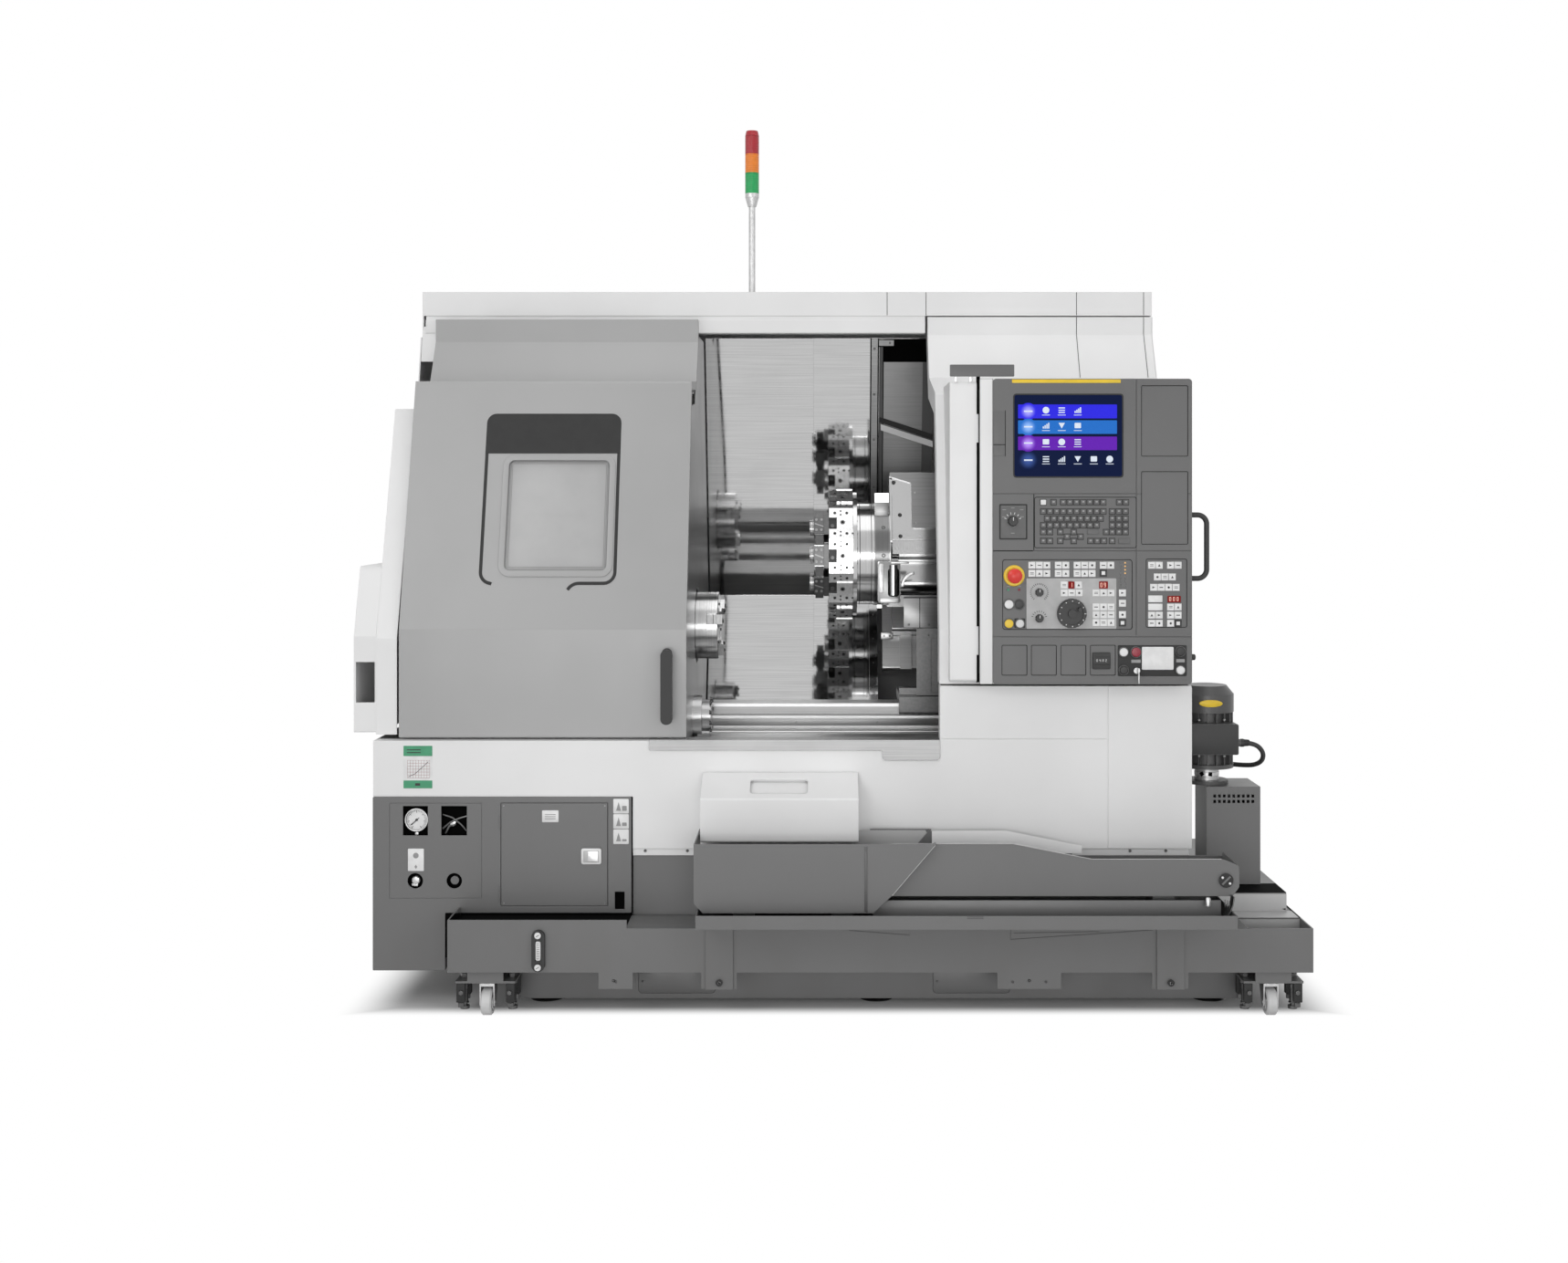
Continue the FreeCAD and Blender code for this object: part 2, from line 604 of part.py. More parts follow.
def turret_disc():
    """Twelve-sided turret: stepped flats, clamp wedges, tool pockets and socket bores."""
    centre = slanted(turret_u, 0)
    step_angle = 360 / station_count
    rim = [station_point(step_angle * (k + 0.5), turret_radius / math.cos(math.radians(15)) - 6, 0)
           for k in range(station_count)]
    disc = prism(rim, "yz", (turret_face_x, turret_back_x))
    shoulder = x_rod((turret_back_x - 12, turret_back_x + 1), centre[0], centre[1], 240)
    shoulder = shoulder.cut(x_rod((turret_back_x - 13, turret_back_x + 2), centre[0], centre[1], 196))
    disc = disc.cut(shoulder)
    adds = [x_rod((turret_back_x - 1, 190), centre[0], centre[1], 50)]
    adds.append(x_rod((turret_face_x - 14, turret_face_x + 1), centre[0], centre[1], 74))
    cuts = [x_rod((turret_face_x - 15, turret_face_x + 6), centre[0], centre[1], 44)]
    for k in range(station_count):
        angle = step_angle * k
        adds.append(station_block(angle, (turret_face_x + 24, turret_back_x - 13), (190, turret_radius), 44))
        cuts.append(station_block(angle, (turret_face_x - 1, turret_face_x + 24), (180, 215), 40))
        spot = station_point(angle, holder_circle - 40, 0)
        cuts.append(x_rod((turret_face_x - 1, turret_face_x + 12), spot[0], spot[1], 12))
    return joined([disc] + adds).cut(Part.makeCompound(cuts))


def tool_holders():
    """Three holders on neighbouring stations: flange, square body and a clamp nut."""
    holders = []
    for angle in (30, 0, -30):
        spot = station_point(angle, holder_circle, 0)
        flange = station_block(angle, (turret_face_x - 16, turret_face_x - 0.2), (140, 192), 70)
        body = station_block(angle, (turret_face_x - 46, turret_face_x - 15), (144, 190), 60)
        nut = x_rod((turret_face_x - 59, turret_face_x - 45), spot[0], spot[1], 21)
        bore = x_rod((turret_face_x - 60, turret_face_x - 30), spot[0], spot[1], 9)
        holders.append(joined([flange, body, nut]).cut(bore))
    return Part.makeCompound(holders)


# ---- Tailstock

def tailstock():
    """Tailstock on the stepped way: foot, stepped guard and a quill housing."""
    foot = prism([(-186, 776), (-186, 836), (40, 836), (40, way_top_z + running_gap),
                  (-150 - running_gap, way_top_z + running_gap), (-150 - running_gap, 776)],
                 "yz", (232, 660), [6, 10, 10, 0, 0, 0])
    body = prism([(-176, 834), (-176, 1000), (-140, tailstock_top_z), (20, tailstock_top_z), (36, 1050),
                  (36, 834)], "yz", (400, 650), [0, 20, 20, 20, 20, 0])
    guard = prism([(tailstock_x, 834), (tailstock_x, 1088), (650, 1088), (650, 834)],
                  "xz", (-186, -176), [0, 16, 0, 0])
    guard = guard.cut(prism([(330, 842), (330, 1010), (352, 1010), (352, 1032), (392, 1032), (392, 842)],
                            "xz", (-187, -181), [6, 0, 0, 0, 0, 6]))
    quill = x_rod((352, 402), spindle_y, spindle_z, 38)
    toe = block((232, 300), (-180, -140), (835, 856))
    shape = joined([foot, body, guard, quill, toe])
    return shape.cut(x_rod((351, 460), spindle_y, spindle_z, 16.05))


def live_centre():
    """Rotating centre: shank in the quill, body and a sixty degree point."""
    shank = x_rod((350, 450), spindle_y, spindle_z, 16)
    body = x_rod((322, 351.5), spindle_y, spindle_z, 26)
    point = Part.makeCone(0.5, 12, 21, vec(302, spindle_y, spindle_z), vec(1, 0, 0))
    return joined([shank, body, point])


# ---- Door

def door_shell():
    """Sliding door: folded skin with side returns, a window and roller hangers."""
    skin = folded_sheet(door_profile, (door_left_x, door_right_x))
    side = list(door_profile) + shifted_path(door_profile, door_return)[::-1]
    ends = [prism(side, "yz", (x, x + sheet)) for x in (door_left_x, door_right_x - sheet)]
    hem = block((door_left_x, door_right_x), (-578, -556), (758, 762))
    hangers = []
    for x in (door_left_x + 60, door_right_x - 140):
        hangers.append(block((x, x + 80), (-94, -8), (1985, 1993)))
    (x0, x1), (z0, z1) = window_x, window_height
    hole = prism([(x0, z0), (x1, z0), (x1, z1), (x0, z1)], "xz", (-600, -380), 22)
    return joined([skin, hem] + ends + hangers).cut(hole)


def door_slope_point(z):
    low, high = door_profile[1], door_profile[2]
    return low[0] + (high[0] - low[0]) * (z - low[1]) / (high[1] - low[1])


def door_window():
    """Laminated pane clamped behind the opening."""
    low_z = window_height[0] - 26
    high_z = window_height[1] + 26
    path = [(door_slope_point(low_z), low_z), (door_slope_point(high_z), high_z)]
    behind = shifted_path(path, sheet)
    deeper = shifted_path(path, sheet + 8)
    return prism(behind + deeper[::-1], "yz", (window_x[0] - 26, window_x[1] + 26))


def door_handle():
    """Bow handle: two feet and a rounded grip."""
    x0, x1 = -464.0, -432.0
    grip = prism([(x0, 800), (x1, 800), (x1, 1012), (x0, 1012)], "xz", (-636, -614), 15.9)
    feet = [block((x0 + 4, x1 - 4), (-616, -580), z) for z in ((812, 842), (970, 1000))]
    return joined([grip] + feet)


# ---- Control pendant

def pendant_housing():
    """Pendant body: flat front with recessed key fields and push buttons, deep back and hinge strip."""
    x0, x1 = pendant_x
    z0, z1 = pendant_z
    main = prism([(x0, z0), (x1, z0), (x1, z1), (x0, z1)], "xz", (pendant_y, -598), 10)
    hump = prism([(x0 + 30, 1180), (x1 - 30, 1180), (x1 - 30, 1740), (x0 + 30, 1740)], "xz", (-599, -560), 24)
    strip = block((438, x0 + 1), (pendant_y + 6, pendant_y + 12), (z0, z1))
    web = block((438, 446), (pendant_y + 11, pivot_y + 4), (z0 + 30, z1 - 30))
    front = pendant_y - 1
    recesses = [
        ((535, 840), (1503, 1734), 8, 6),
        ((893, 1025), (1560, 1760), 2, 4),
        ((893, 1025), (1312, 1518), 2, 4),
        ((502, 868), (1072, 1270), 2, 8),
        ((906, 1022), (1078, 1272), 2, 6),
        ((592, 880), (1302, 1446), 2, 6),
    ]
    for step in range(4):
        left = 500 + 83 * step
        recesses.append(((left, left + 72), (943, 1029), 3, 4))
    cuts = []
    for (a, b), (low, high), depth, corner in recesses:
        cuts.append(prism([(a, low), (b, low), (b, high), (a, high)], "xz", (front, pendant_y + depth), corner))
    seams = [block((wing_x - 1, wing_x + 1), (front, pendant_y + 2), (1056, z1 + 1))]
    for z in (1455, 1294, 1052):
        seams.append(block((x0 - 1, x1 + 1), (front, pendant_y + 2), (z - 1, z + 1)))
    bores = [y_rod(x, (front, pendant_y + 16), z, radius + 0.3) for x, z, radius, _ in control_spots().values()]
    case = joined([main, hump, strip, web]).cut(Part.makeCompound(cuts + seams + bores))
    buttons = []
    for x, z, radius in push_buttons:
        buttons.append(y_rod(x, (pendant_y - 1.2, pendant_y + 4), z, radius + 2))
        buttons.append(y_rod(x, (pendant_y - 4, pendant_y), z, radius - 1.5))
    return joined([case] + buttons)


def control_spots():
    """Centre X, Z, stem radius and head radius of each control on the pendant."""
    return {
        "estop_button": (535.0, 1224.0, 11.0, 20.6),
        "handwheel": (697.0, 1118.0, 12.0, 40.0),
        "feed_knob": (606.0, 1177.0, 5.0, 12.0),
        "speed_knob": (606.0, 1104.0, 5.0, 12.0),
        "mode_selector": (531.0, 1378.0, 5.0, 15.0),
        "key_switch": (880.0, 957.0, 6.0, 9.0),
    }


def knob(name, depth, flutes):
    """A turned knob on a stem, with grip flutes round its head."""
    x, z, stem, head = control_spots()[name]
    seat = pendant_y + 14
    body = Part.makeCone(head * 0.82, head, depth - 3, vec(x, pendant_y - depth, z), vec(0, 1, 0))
    shaft = y_rod(x, (pendant_y - 4, seat), z, stem)
    grooves = []
    for step in range(flutes):
        angle = 2 * math.pi * step / flutes
        grooves.append(y_rod(x + head * 1.02 * math.cos(angle), (pendant_y - depth - 1, pendant_y - 2),
                             z + head * 1.02 * math.sin(angle), head * 0.14))
    shape = joined([body, shaft])
    return shape.cut(Part.makeCompound(grooves)) if grooves else shape


def estop_button():
    """Mushroom head on a plunger."""
    x, z, stem, head = control_spots()["estop_button"]
    dome = Part.makeSphere(34, vec(x, pendant_y + 4, z), vec(0, -1, 0))
    cap = y_rod(x, (pendant_y - 30, pendant_y - 14), z, head).common(dome)
    neck = y_rod(x, (pendant_y - 15, pendant_y + 6), z, stem)
    return joined([cap, neck])


def handwheel():
    """Pulse wheel with a knurled rim, a dished face and a spinner."""
    x, z, stem, head = control_spots()["handwheel"]
    wheel = y_rod(x, (pendant_y - 18, pendant_y - 2), z, head)
    wheel = wheel.cut(y_rod(x, (pendant_y - 19, pendant_y - 14), z, head - 9))
    hub = y_rod(x, (pendant_y - 22, pendant_y + 14), z, stem)
    spinner = y_rod(x + 20, (pendant_y - 34, pendant_y - 13), z + 12, 6)
    notches = []
    for step in range(20):
        angle = 2 * math.pi * step / 20
        notches.append(y_rod(x + 41 * math.cos(angle), (pendant_y - 19, pendant_y - 1),
                             z + 41 * math.sin(angle), 2.6))
    return joined([wheel, hub, spinner]).cut(Part.makeCompound(notches))


def key_switch():
    """Lock barrel with a flat key in it."""
    x, z, stem, head = control_spots()["key_switch"]
    barrel = y_rod(x, (pendant_y - 5, pendant_y + 14), z, stem)
    face = y_rod(x, (pendant_y - 6, pendant_y - 1), z, head)
    blade = block((x - 1.2, x + 1.2), (pendant_y - 20, pendant_y - 5), (z - 5, z + 5))
    bow = prism([(x - 1.3, z - 10), (x + 1.3, z - 10), (x + 1.3, z + 10), (x - 1.3, z + 10)],
                "xz", (pendant_y - 36, pendant_y - 19))
    return joined([barrel, face, blade, bow])


def display_screen():
    """Flat panel seated in the bezel's recess."""
    return prism([(535.3, 1503.3), (839.7, 1503.3), (839.7, 1733.7), (535.3, 1733.7)],
                 "xz", (pendant_y + 4, pendant_y + 8), 5.7)


def pendant_handle():
    """Bent tube handle on the pendant's right edge."""
    radius = 7.5
    low_z, high_z = 1215.0, 1395.0
    reach = 1084.0
    bend_radius = 26.0
    start_x = pendant_x[1]
    y = -632.0
    corner = bend_radius * (1 - math.cos(math.radians(45)))
    path = Part.Wire([
        Part.makeLine(vec(start_x, y, low_z), vec(reach - bend_radius, y, low_z)),
        Part.Arc(vec(reach - bend_radius, y, low_z), vec(reach - corner, y, low_z + corner),
                 vec(reach, y, low_z + bend_radius)).toShape(),
        Part.makeLine(vec(reach, y, low_z + bend_radius), vec(reach, y, high_z - bend_radius)),
        Part.Arc(vec(reach, y, high_z - bend_radius), vec(reach - corner, y, high_z - corner),
                 vec(reach - bend_radius, y, high_z)).toShape(),
        Part.makeLine(vec(reach - bend_radius, y, high_z), vec(start_x, y, high_z)),
    ])
    ring = Part.Wire([Part.makeCircle(radius, vec(start_x, y, low_z), vec(1, 0, 0))])
    tube = path.makePipeShell([ring], True, False)
    flanges = [x_rod((start_x, start_x + 4), y, z, 14) for z in (low_z, high_z)]
    return joined([tube] + flanges)


# ---- Service cabinet

def service_cabinet():
    """Stepped cabinet under the headstock: folded shell with windows and a door opening."""
    outline = [(cover_left_x, 98), (cover_left_x, 591.8), (-549, 591.8), (-549, 262), (-1079, 262),
               (-1079, 98)]
    inner = [(cover_left_x + sheet, 102), (cover_left_x + sheet, 588), (-553, 588), (-553, 266),
             (-1083, 266), (-1083, 102)]
    groove = block((-1238, -974), (-611, -609), (302, 575))
    groove = groove.cut(block((-1236, -976), (-612, -608), (304, 573)))
    shell = prism(outline, "xz", (-610, -330), [3, 3, 3, 3, 3, 3])
    shell = shell.cut(prism(inner, "xz", (-606, -329)))
    shelf = block((-1282, -980), (-590, -586), (300, 588))
    cuts = [
        block((-1199, -1128), (-611, -605), (482, 566)),
        block((-1090, -1017), (-611, -605), (482, 566)),
        y_rod(-1164, (-611, -605), 353, 22),
        y_rod(-1053, (-611, -605), 353, 22),
        prism([(-921, 281.5), (-615, 281.5), (-615, 575.5), (-921, 575.5)], "xz", (-611, -605), 3),
        block((-596, -568), (-611, -605), (272, 322)),
        groove,
    ]
    valves = [y_rod(x, (-602, -589), 353, 12) for x in (-1164, -1053)]
    knuckles = [z_rod(-922.5, -611.5, z, 2.5) for z in ((300, 340), (500, 540))]
    return joined([shell.cut(Part.makeCompound(cuts)), shelf] + valves + knuckles)


def service_door():
    """Hinged service door with a recessed latch."""
    plate = prism([(-919, 283), (-617, 283), (-617, 574), (-919, 574)], "xz", (-611, -607), 2)
    latch = block((-688, -636), (-614, -606), (408, 450))
    latch = latch.cut(block((-672, -644), (-615, -610), (416, 442)))
    return joined([plate, latch])


def pressure_gauge():
    """Dial gauge behind the cabinet's window, with its stem."""
    x, z = -1161.0, 526.0
    body = y_rod(x, (-604, -590), z, 33)
    bezel = y_rod(x, (-605, -602), z, 29)
    stem = z_rod(x, -597, (486, 500), 6)
    return joined([body.cut(bezel), stem])


# ---- Tank, pump and conveyor

def coolant_tank():
    """Open tank in an ell round the bed, with welded plates for its casters."""
    right = half_length
    bottom, top = tank_z
    outline = [(tank_left_x, tank_y), (right, tank_y), (right, 250), (1070, 250), (1070, -612),
               (tank_left_x, -612)]
    inner = [(tank_left_x + sheet, tank_y + sheet), (right - sheet, tank_y + sheet), (right - sheet, 246),
             (1074, 246), (1074, -616), (tank_left_x + sheet, -616)]
    body = prism(outline, "xy", (bottom, top)).cut(prism(inner, "xy", (bottom + sheet, top + 1)))
    raised = block((tank_left_x, -545), (tank_y, -612), (top - 1, tank_left_top_z))
    raised = raised.cut(block((tank_left_x + sheet, -544), (tank_y + sheet, -611), (top - 2, 279)))
    lid = block((tank_left_x, 1108), (tank_y, -612), (top - sheet, top))
    deck = prism([(1108, -762), (1108, -612), (1070, -612), (1070, 250), (right, 250), (right, -640),
                  (1170, -640), (1170, -762)], "xy", (top - sheet, top))
    riser = prism([(1070, -560), (1330, -560), (1330, 250), (1070, 250)], "xy", (top - 1, 308), 6)
    riser = riser.cut(prism([(1074, -556), (1326, -556), (1326, 246), (1074, 246)], "xy", (top - 2, 304)))
    hooks = []
    for x in ((-623, -528), (-339, -241), (478, 654), (905, 1005)):
        hooks.append(block(x, (tank_y, tank_y + sheet), (88, bottom + 1)))
    plates = []
    spots = list(caster_spots.values()) + [rear_caster_spot]
    for x, y in spots:
        wide = (x - 83, x + 83)
        deep = (y - 56, y + 56)
        plates.append(block(wide, deep, (98, 104)))
        for post_y in (deep[0], deep[1] - 8):
            plates.append(block((x - 50, x + 50), (post_y, post_y + 8), (103, bottom + 1)))
    holes = [y_rod(x, (tank_y - 1, tank_y + 5), 108, 4) for x in (-575, 520, 612)]
    for x, y in spots:
        for side in (-jack_offset, jack_offset):
            holes.append(z_rod(x + side, y, (97, 105), 7.3))
    rigid_fork = caster_fork(rear_caster_spot)
    king_pin = z_rod(rear_caster_spot[0], rear_caster_spot[1], (97, 99), 20)
    return joined([body, raised, lid, deck, riser, rigid_fork, king_pin] + hooks + plates).cut(
        Part.makeCompound(holes))


def jack_screws():
    """Jack screws beside each caster, each with a hexagon nut and a round foot."""
    screws = []
    for x, y in list(caster_spots.values()) + [rear_caster_spot]:
        for side in (-jack_offset, jack_offset):
            stem = z_rod(x + side, y, (22, 128), 7)
            foot = z_rod(x + side, y, (14, 23), 13)
            nut = hexagon((x + side, y), 13, "xy", (104, 114))
            screws.append(joined([stem, foot, nut]))
    return Part.makeCompound(screws)


def caster_fork(spot):
    """Swivel fork: bearing cap, king pin, bent legs and the wheel's axle."""
    x, y = spot
    axle_z = wheel_radius + wheel_floor_gap
    wheel_y = y - caster_trail
    cap = Part.makeCone(30, 34, 5, vec(x, y, 89.5)).fuse(z_rod(x, y, (94, 97.5), 34))
    crown = block((x - 21, x + 21), (wheel_y - 14, y + 24), (82, 90))
    legs = []
    for side in (-1, 1):
        edge = x + side * 19
        legs.append(prism([(wheel_y - 12, axle_z - 12), (wheel_y + 12, axle_z - 12), (y + 22, 83),
                           (wheel_y - 14, 83)], "yz", (edge - 2, edge + 2), [8, 8, 0, 0]))
    axle = x_rod((x - 22, x + 22), wheel_y, axle_z, 5)
    return joined([cap, crown, axle] + legs)


def caster_wheel(spot):
    """Wheel with a bevelled tread and a hollow hub."""
    x, y = spot
    axle_z = wheel_radius + wheel_floor_gap
    wheel_y = y - caster_trail
    half = wheel_width / 2
    tread = x_rod((x - half, x + half), wheel_y, axle_z, wheel_radius)
    tread = tread.makeChamfer(4, [edge for edge in tread.Edges if edge.Curve.TypeId == "Part::GeomCircle"])
    for side in (-1, 1):
        face = sorted((x + side * (half - 4), x + side * (half + 1)))
        dish = x_rod(face, wheel_y, axle_z, 27).cut(x_rod(face, wheel_y, axle_z, 12))
        tread = tread.cut(dish)
    return tread.cut(x_rod((x - 20, x + 20), wheel_y, axle_z, 5.06))


def level_gauge():
    """Sight gauge: obround body with a glass slot and two bolts."""
    x, y = -788.0, tank_y
    body = prism([(x - 18, 138), (x + 18, 138), (x + 18, 252), (x - 18, 252)], "xz", (y - 12, y), 17.9)
    slot = block((x - 8, x + 8), (y - 13, y - 6), (168, 222))
    bolts = [hexagon((x, z), 8, "xz", (y - 16, y - 11)) for z in (151, 239)]
    return joined([body] + bolts).cut(slot)


def filter_box():
    """Filter housing beside the bed, vented by two rows of square holes."""
    x = (1123.0, 1281.0)
    shell = block(x, (-450, -290), (308.2, 595)).cut(block((x[0] + 3, x[1] - 3), (-447, -293), (308, 592)))
    holes = []
    for column in range(9):
        for row in range(2):
            left = 1143 + 14 * column
            low = 563 - 16 * row
            holes.append(block((left, left + 8), (-451, -446), (low, low + 9)))
    return shell.cut(Part.makeCompound(holes))


pump_axis = (1140.0, -372.0)
lead_diameter = 14.0


def coolant_pump():
    """Pump motor: neck, finned body, domed fan cowl and a terminal box in front."""
    x, y = pump_axis
    parts = [
        z_rod(x, y, (595.2, 606), 62),
        z_rod(x, y, (605, 645), 34),
        z_rod(x, y, (644, 656), 78),
        z_rod(x, y, (655, 810), 64),
        z_rod(x, y, (809, 862), 79),
        Part.makeCone(79, 58, 26, vec(x, y, 861)),
        prism([(x - 73, 691), (x + 73, 691), (x + 73, 781), (x - 73, 781)], "xz", (y - 98, y - 50), 5),
    ]
    for step in range(18):
        fin = block((60, 77), (-1.6, 1.6), (656, 809))
        fin.rotate(vec(0, 0, 0), vec(0, 0, 1), 20 * step)
        fin.translate(vec(x, y, 0))
        parts.append(fin)
    start = cable_route()[0]
    parts.append(x_rod((x + 72, start[0]), start[1], start[2], 11))
    return joined(parts)


def cable_route():
    """Points of the pump's lead, from the terminal box to the gland in the end cover."""
    return [
        (1224, -450, 724), (1262, -450, 724), (1292, -440, 698), (1298, -412, 667), (1284, -372, 647),
        (1258, -328, 640), (1222, -286, 638), (1178, -256, 639), (1128, -246, 641), (1084, -248, 640),
        (1048, -248, 640),
    ]


def pump_cable():
    """The lead: straight runs joined by tangent arcs."""
    diameter = lead_diameter
    points = [vec(*point) for point in cable_route()]
    edges = []
    last = points[0]
    tightest = 1e9
    for before, corner, after in zip(points, points[1:], points[2:]):
        into = (corner - before).normalize()
        out = (after - corner).normalize()
        turn = into.getAngle(out)
        reach = 0.45 * min(before.distanceToPoint(corner), corner.distanceToPoint(after))
        radius = reach / math.tan(turn / 2)
        tightest = min(tightest, radius)
        entry = corner - into * reach
        leave = corner + out * reach
        inward = (out - into).normalize()
        middle = corner + inward * (radius / math.cos(turn / 2) - radius)
        edges.append(Part.makeLine(last, entry))
        edges.append(Part.Arc(entry, middle, leave).toShape())
        last = leave
    edges.append(Part.makeLine(last, points[-1]))
    path = Part.Wire(edges)
    ring = Part.Wire([Part.makeCircle(diameter / 2, points[0], points[1] - points[0])])
    tube = path.makePipeShell([ring], True, False)
    section = math.pi * diameter ** 2 / 4
    print("pump lead: length %.0f mm, tightest radius %.0f mm, volume ratio %.3f" % (
        path.Length, tightest, tube.Volume / (section * path.Length)))
    return tube


def conveyor_frame():
    """Parts conveyor: catch bin with a tapered throat into a long open trough."""
    body_y = (-840.0, -650.0)
    arm = [(178, 361), (178, 503), (513, 503), (727, 461), (1086, 461), (1128, 443), (1128, 386), (1110, 361)]
    hollow = [(170, 365), (170, 520), (1124, 520), (1124, 388), (1107, 365)]
    trough = prism(arm, "xz", body_y, [0, 0, 8, 8, 14, 8, 8, 8])
    trough = trough.cut(prism(hollow, "xz", (body_y[0] + 3, body_y[1] - 3)))
    trough = trough.cut(block((700, 1130), (body_y[1] - 4, body_y[1] + 1), (434, 520)))
    bin_outline = [(-353, 346), (-353, 507), (303, 507), (183, 367), (133, 320), (-328, 320)]
    bin_hollow = [(-350, 348), (-350, 520), (310, 520), (296, 504), (180, 370), (131, 323), (-326, 323)]
    catch = prism(bin_outline, "xz", (-865, -640)).cut(prism(bin_hollow, "xz", (-862, -643)))
    catch = catch.cut(block((178, 310), (body_y[0] + 3, body_y[1] - 3), (366, 510)))
    trough = trough.cut(prism(bin_hollow, "xz", (-862, -643)))
    catch = catch.cut(block((-351, 130), (-644, -639), (440, 510)))
    hub = y_rod(1091, (-846, -839), 405, 19)
    feet = [block((x, x + 60), (-800, -700), (296.2, z)) for x, z in ((-250, 321), (20, 321), (900, 362))]
    return joined([catch, trough, hub] + feet)


def conveyor_belt():
    """Belt loop round its two rollers, with low cleats."""
    low, high = 392.0, 416.0
    radius = (high - low) / 2
    outer = prism([(-300, low), (1100, low), (1100, high), (-300, high)], "xz", (-822, -668), radius - 0.1)
    inner = prism([(-297, low + 3), (1097, low + 3), (1097, high - 3), (-297, high - 3)],
                  "xz", (-823, -667), radius - 3.1)
    rollers = [y_rod(x, (-834, -656), (low + high) / 2, radius - 2.8) for x in (-287.9, 1087.9)]
    cleats = [block((x, x + 4), (-820, -670), (high - 1, high + 8)) for x in range(-240, 1080, 110)]
    return joined([outer.cut(inner)] + rollers + cleats)


def drip_tray():
    """Folded tray under the conveyor on two bracket straps, stiffened by gussets."""
    x0, x1 = -344.0, 1104.0
    z0 = 290.0
    tray = block((x0, x1), (front_y, -620), (z0, 327))
    tray = tray.cut(block((x0 + 3, x1 - 3), (front_y + 3, -623), (z0 + 3, 328)))
    straps = [block(x, (-772, -765.2), (88, z0 + 1)) for x in ((-327, -251), (917, 993))]
    gussets = []
    for x in (-300, 188, 560, 980):
        gussets.append(prism([(-900, z0 + 1), (-765.2, z0 + 1), (-765.2, 262)], "yz", (x, x + 4)))
    bolts = [hexagon((x, 108), 8, "xz", (-778, -771)) for x in (-289, 955)]
    return joined([tray] + straps + gussets + bolts)


chute_hinge = (-607.0, 484.0)


def chute_flap():
    """Tilting chute cover with a sloping top, a grip slot and a pin at each end."""
    outline = [(-607, 484), (-725, 484), (-725, 605), (-609, 662)]
    inner = [(-600, 488), (-721, 488), (-721, 603), (-600, 661)]
    shell = prism(outline, "yz", (-345, 96), [0, 6, 6, 0]).cut(prism(inner, "yz", (-341, 92)))
    grip = prism([(-208, -702), (-46, -702), (-46, -636), (-208, -636)], "xy", (600, 680), 12)
    pins = [x_rod(x, chute_hinge[0], chute_hinge[1], 1.6) for x in ((-349, -343), (94, 100))]
    return joined([shell.cut(grip)] + pins)


# ---- Signal tower

def tower_spot():
    return (-234.0, 100.0)


def stack_light_pole():
    """Pole on a flanged foot, with a tapered socket below the lenses."""
    x, y = tower_spot()
    foot = z_rod(x, y, (roof_z, roof_z + 8), 34)
    pole = z_rod(x, y, (roof_z, 2390), 10.5)
    socket = Part.makeCone(14, 22.5, 30, vec(x, y, 2388))
    neck = z_rod(x, y, (2417, 2430), 22.5)
    return joined([foot, pole, socket, neck])


def lens(low, high, lid):
    """One lens of the tower, with a rim groove, and the lid on the topmost."""
    x, y = tower_spot()
    body = z_rod(x, y, (low, high), 22.5)
    groove = z_rod(x, y, (high - 4, high - 2), 24).cut(z_rod(x, y, (high - 4, high - 2), 21))
    body = body.cut(groove)
    if lid:
        body = body.fuse(Part.makeCone(22.5, 19, tower_top_z - high, vec(x, y, high)))
    return body


builders = {
    "base_bed": base_bed,
    "levelling_pads": levelling_pads,
    "headstock": headstock,
    "left_front_cover": left_front_cover,
    "left_end_cover": left_end_cover,
    "motor_cover": motor_cover,
    "front_lower_cover": front_lower_cover,
    "sill_plate": sill_plate,
    "roof_cover": roof_cover,
    "right_front_cover": right_front_cover,
    "right_end_cover": right_end_cover,
    "rear_cabinet": rear_cabinet,
    "chamber_liner": chamber_liner,
    "way_cover_right": way_cover_right,
    "way_cover_left": way_cover_left,
    "spindle_chuck": spindle_chuck,
    "saddle": saddle,
    "cross_slide": cross_slide,
    "turret_housing": turret_housing,
    "turret_disc": turret_disc,
    "tool_holders": tool_holders,
    "tailstock": tailstock,
    "live_centre": live_centre,
    "door_shell": door_shell,
    "door_window": door_window,
    "door_handle": door_handle,
    "pendant_housing": pendant_housing,
    "display_screen": display_screen,
    "pendant_handle": pendant_handle,
    "estop_button": estop_button,
    "handwheel": handwheel,
    "key_switch": key_switch,
    "service_cabinet": service_cabinet,
    "service_door": service_door,
    "pressure_gauge": pressure_gauge,
    "coolant_tank": coolant_tank,
    "jack_screws": jack_screws,
    "level_gauge": level_gauge,
    "filter_box": filter_box,
    "coolant_pump": coolant_pump,
    "pump_cable": pump_cable,
    "conveyor_frame": conveyor_frame,
    "conveyor_belt": conveyor_belt,
    "drip_tray": drip_tray,
    "chute_flap": chute_flap,
    "stack_light_pole": stack_light_pole,
}

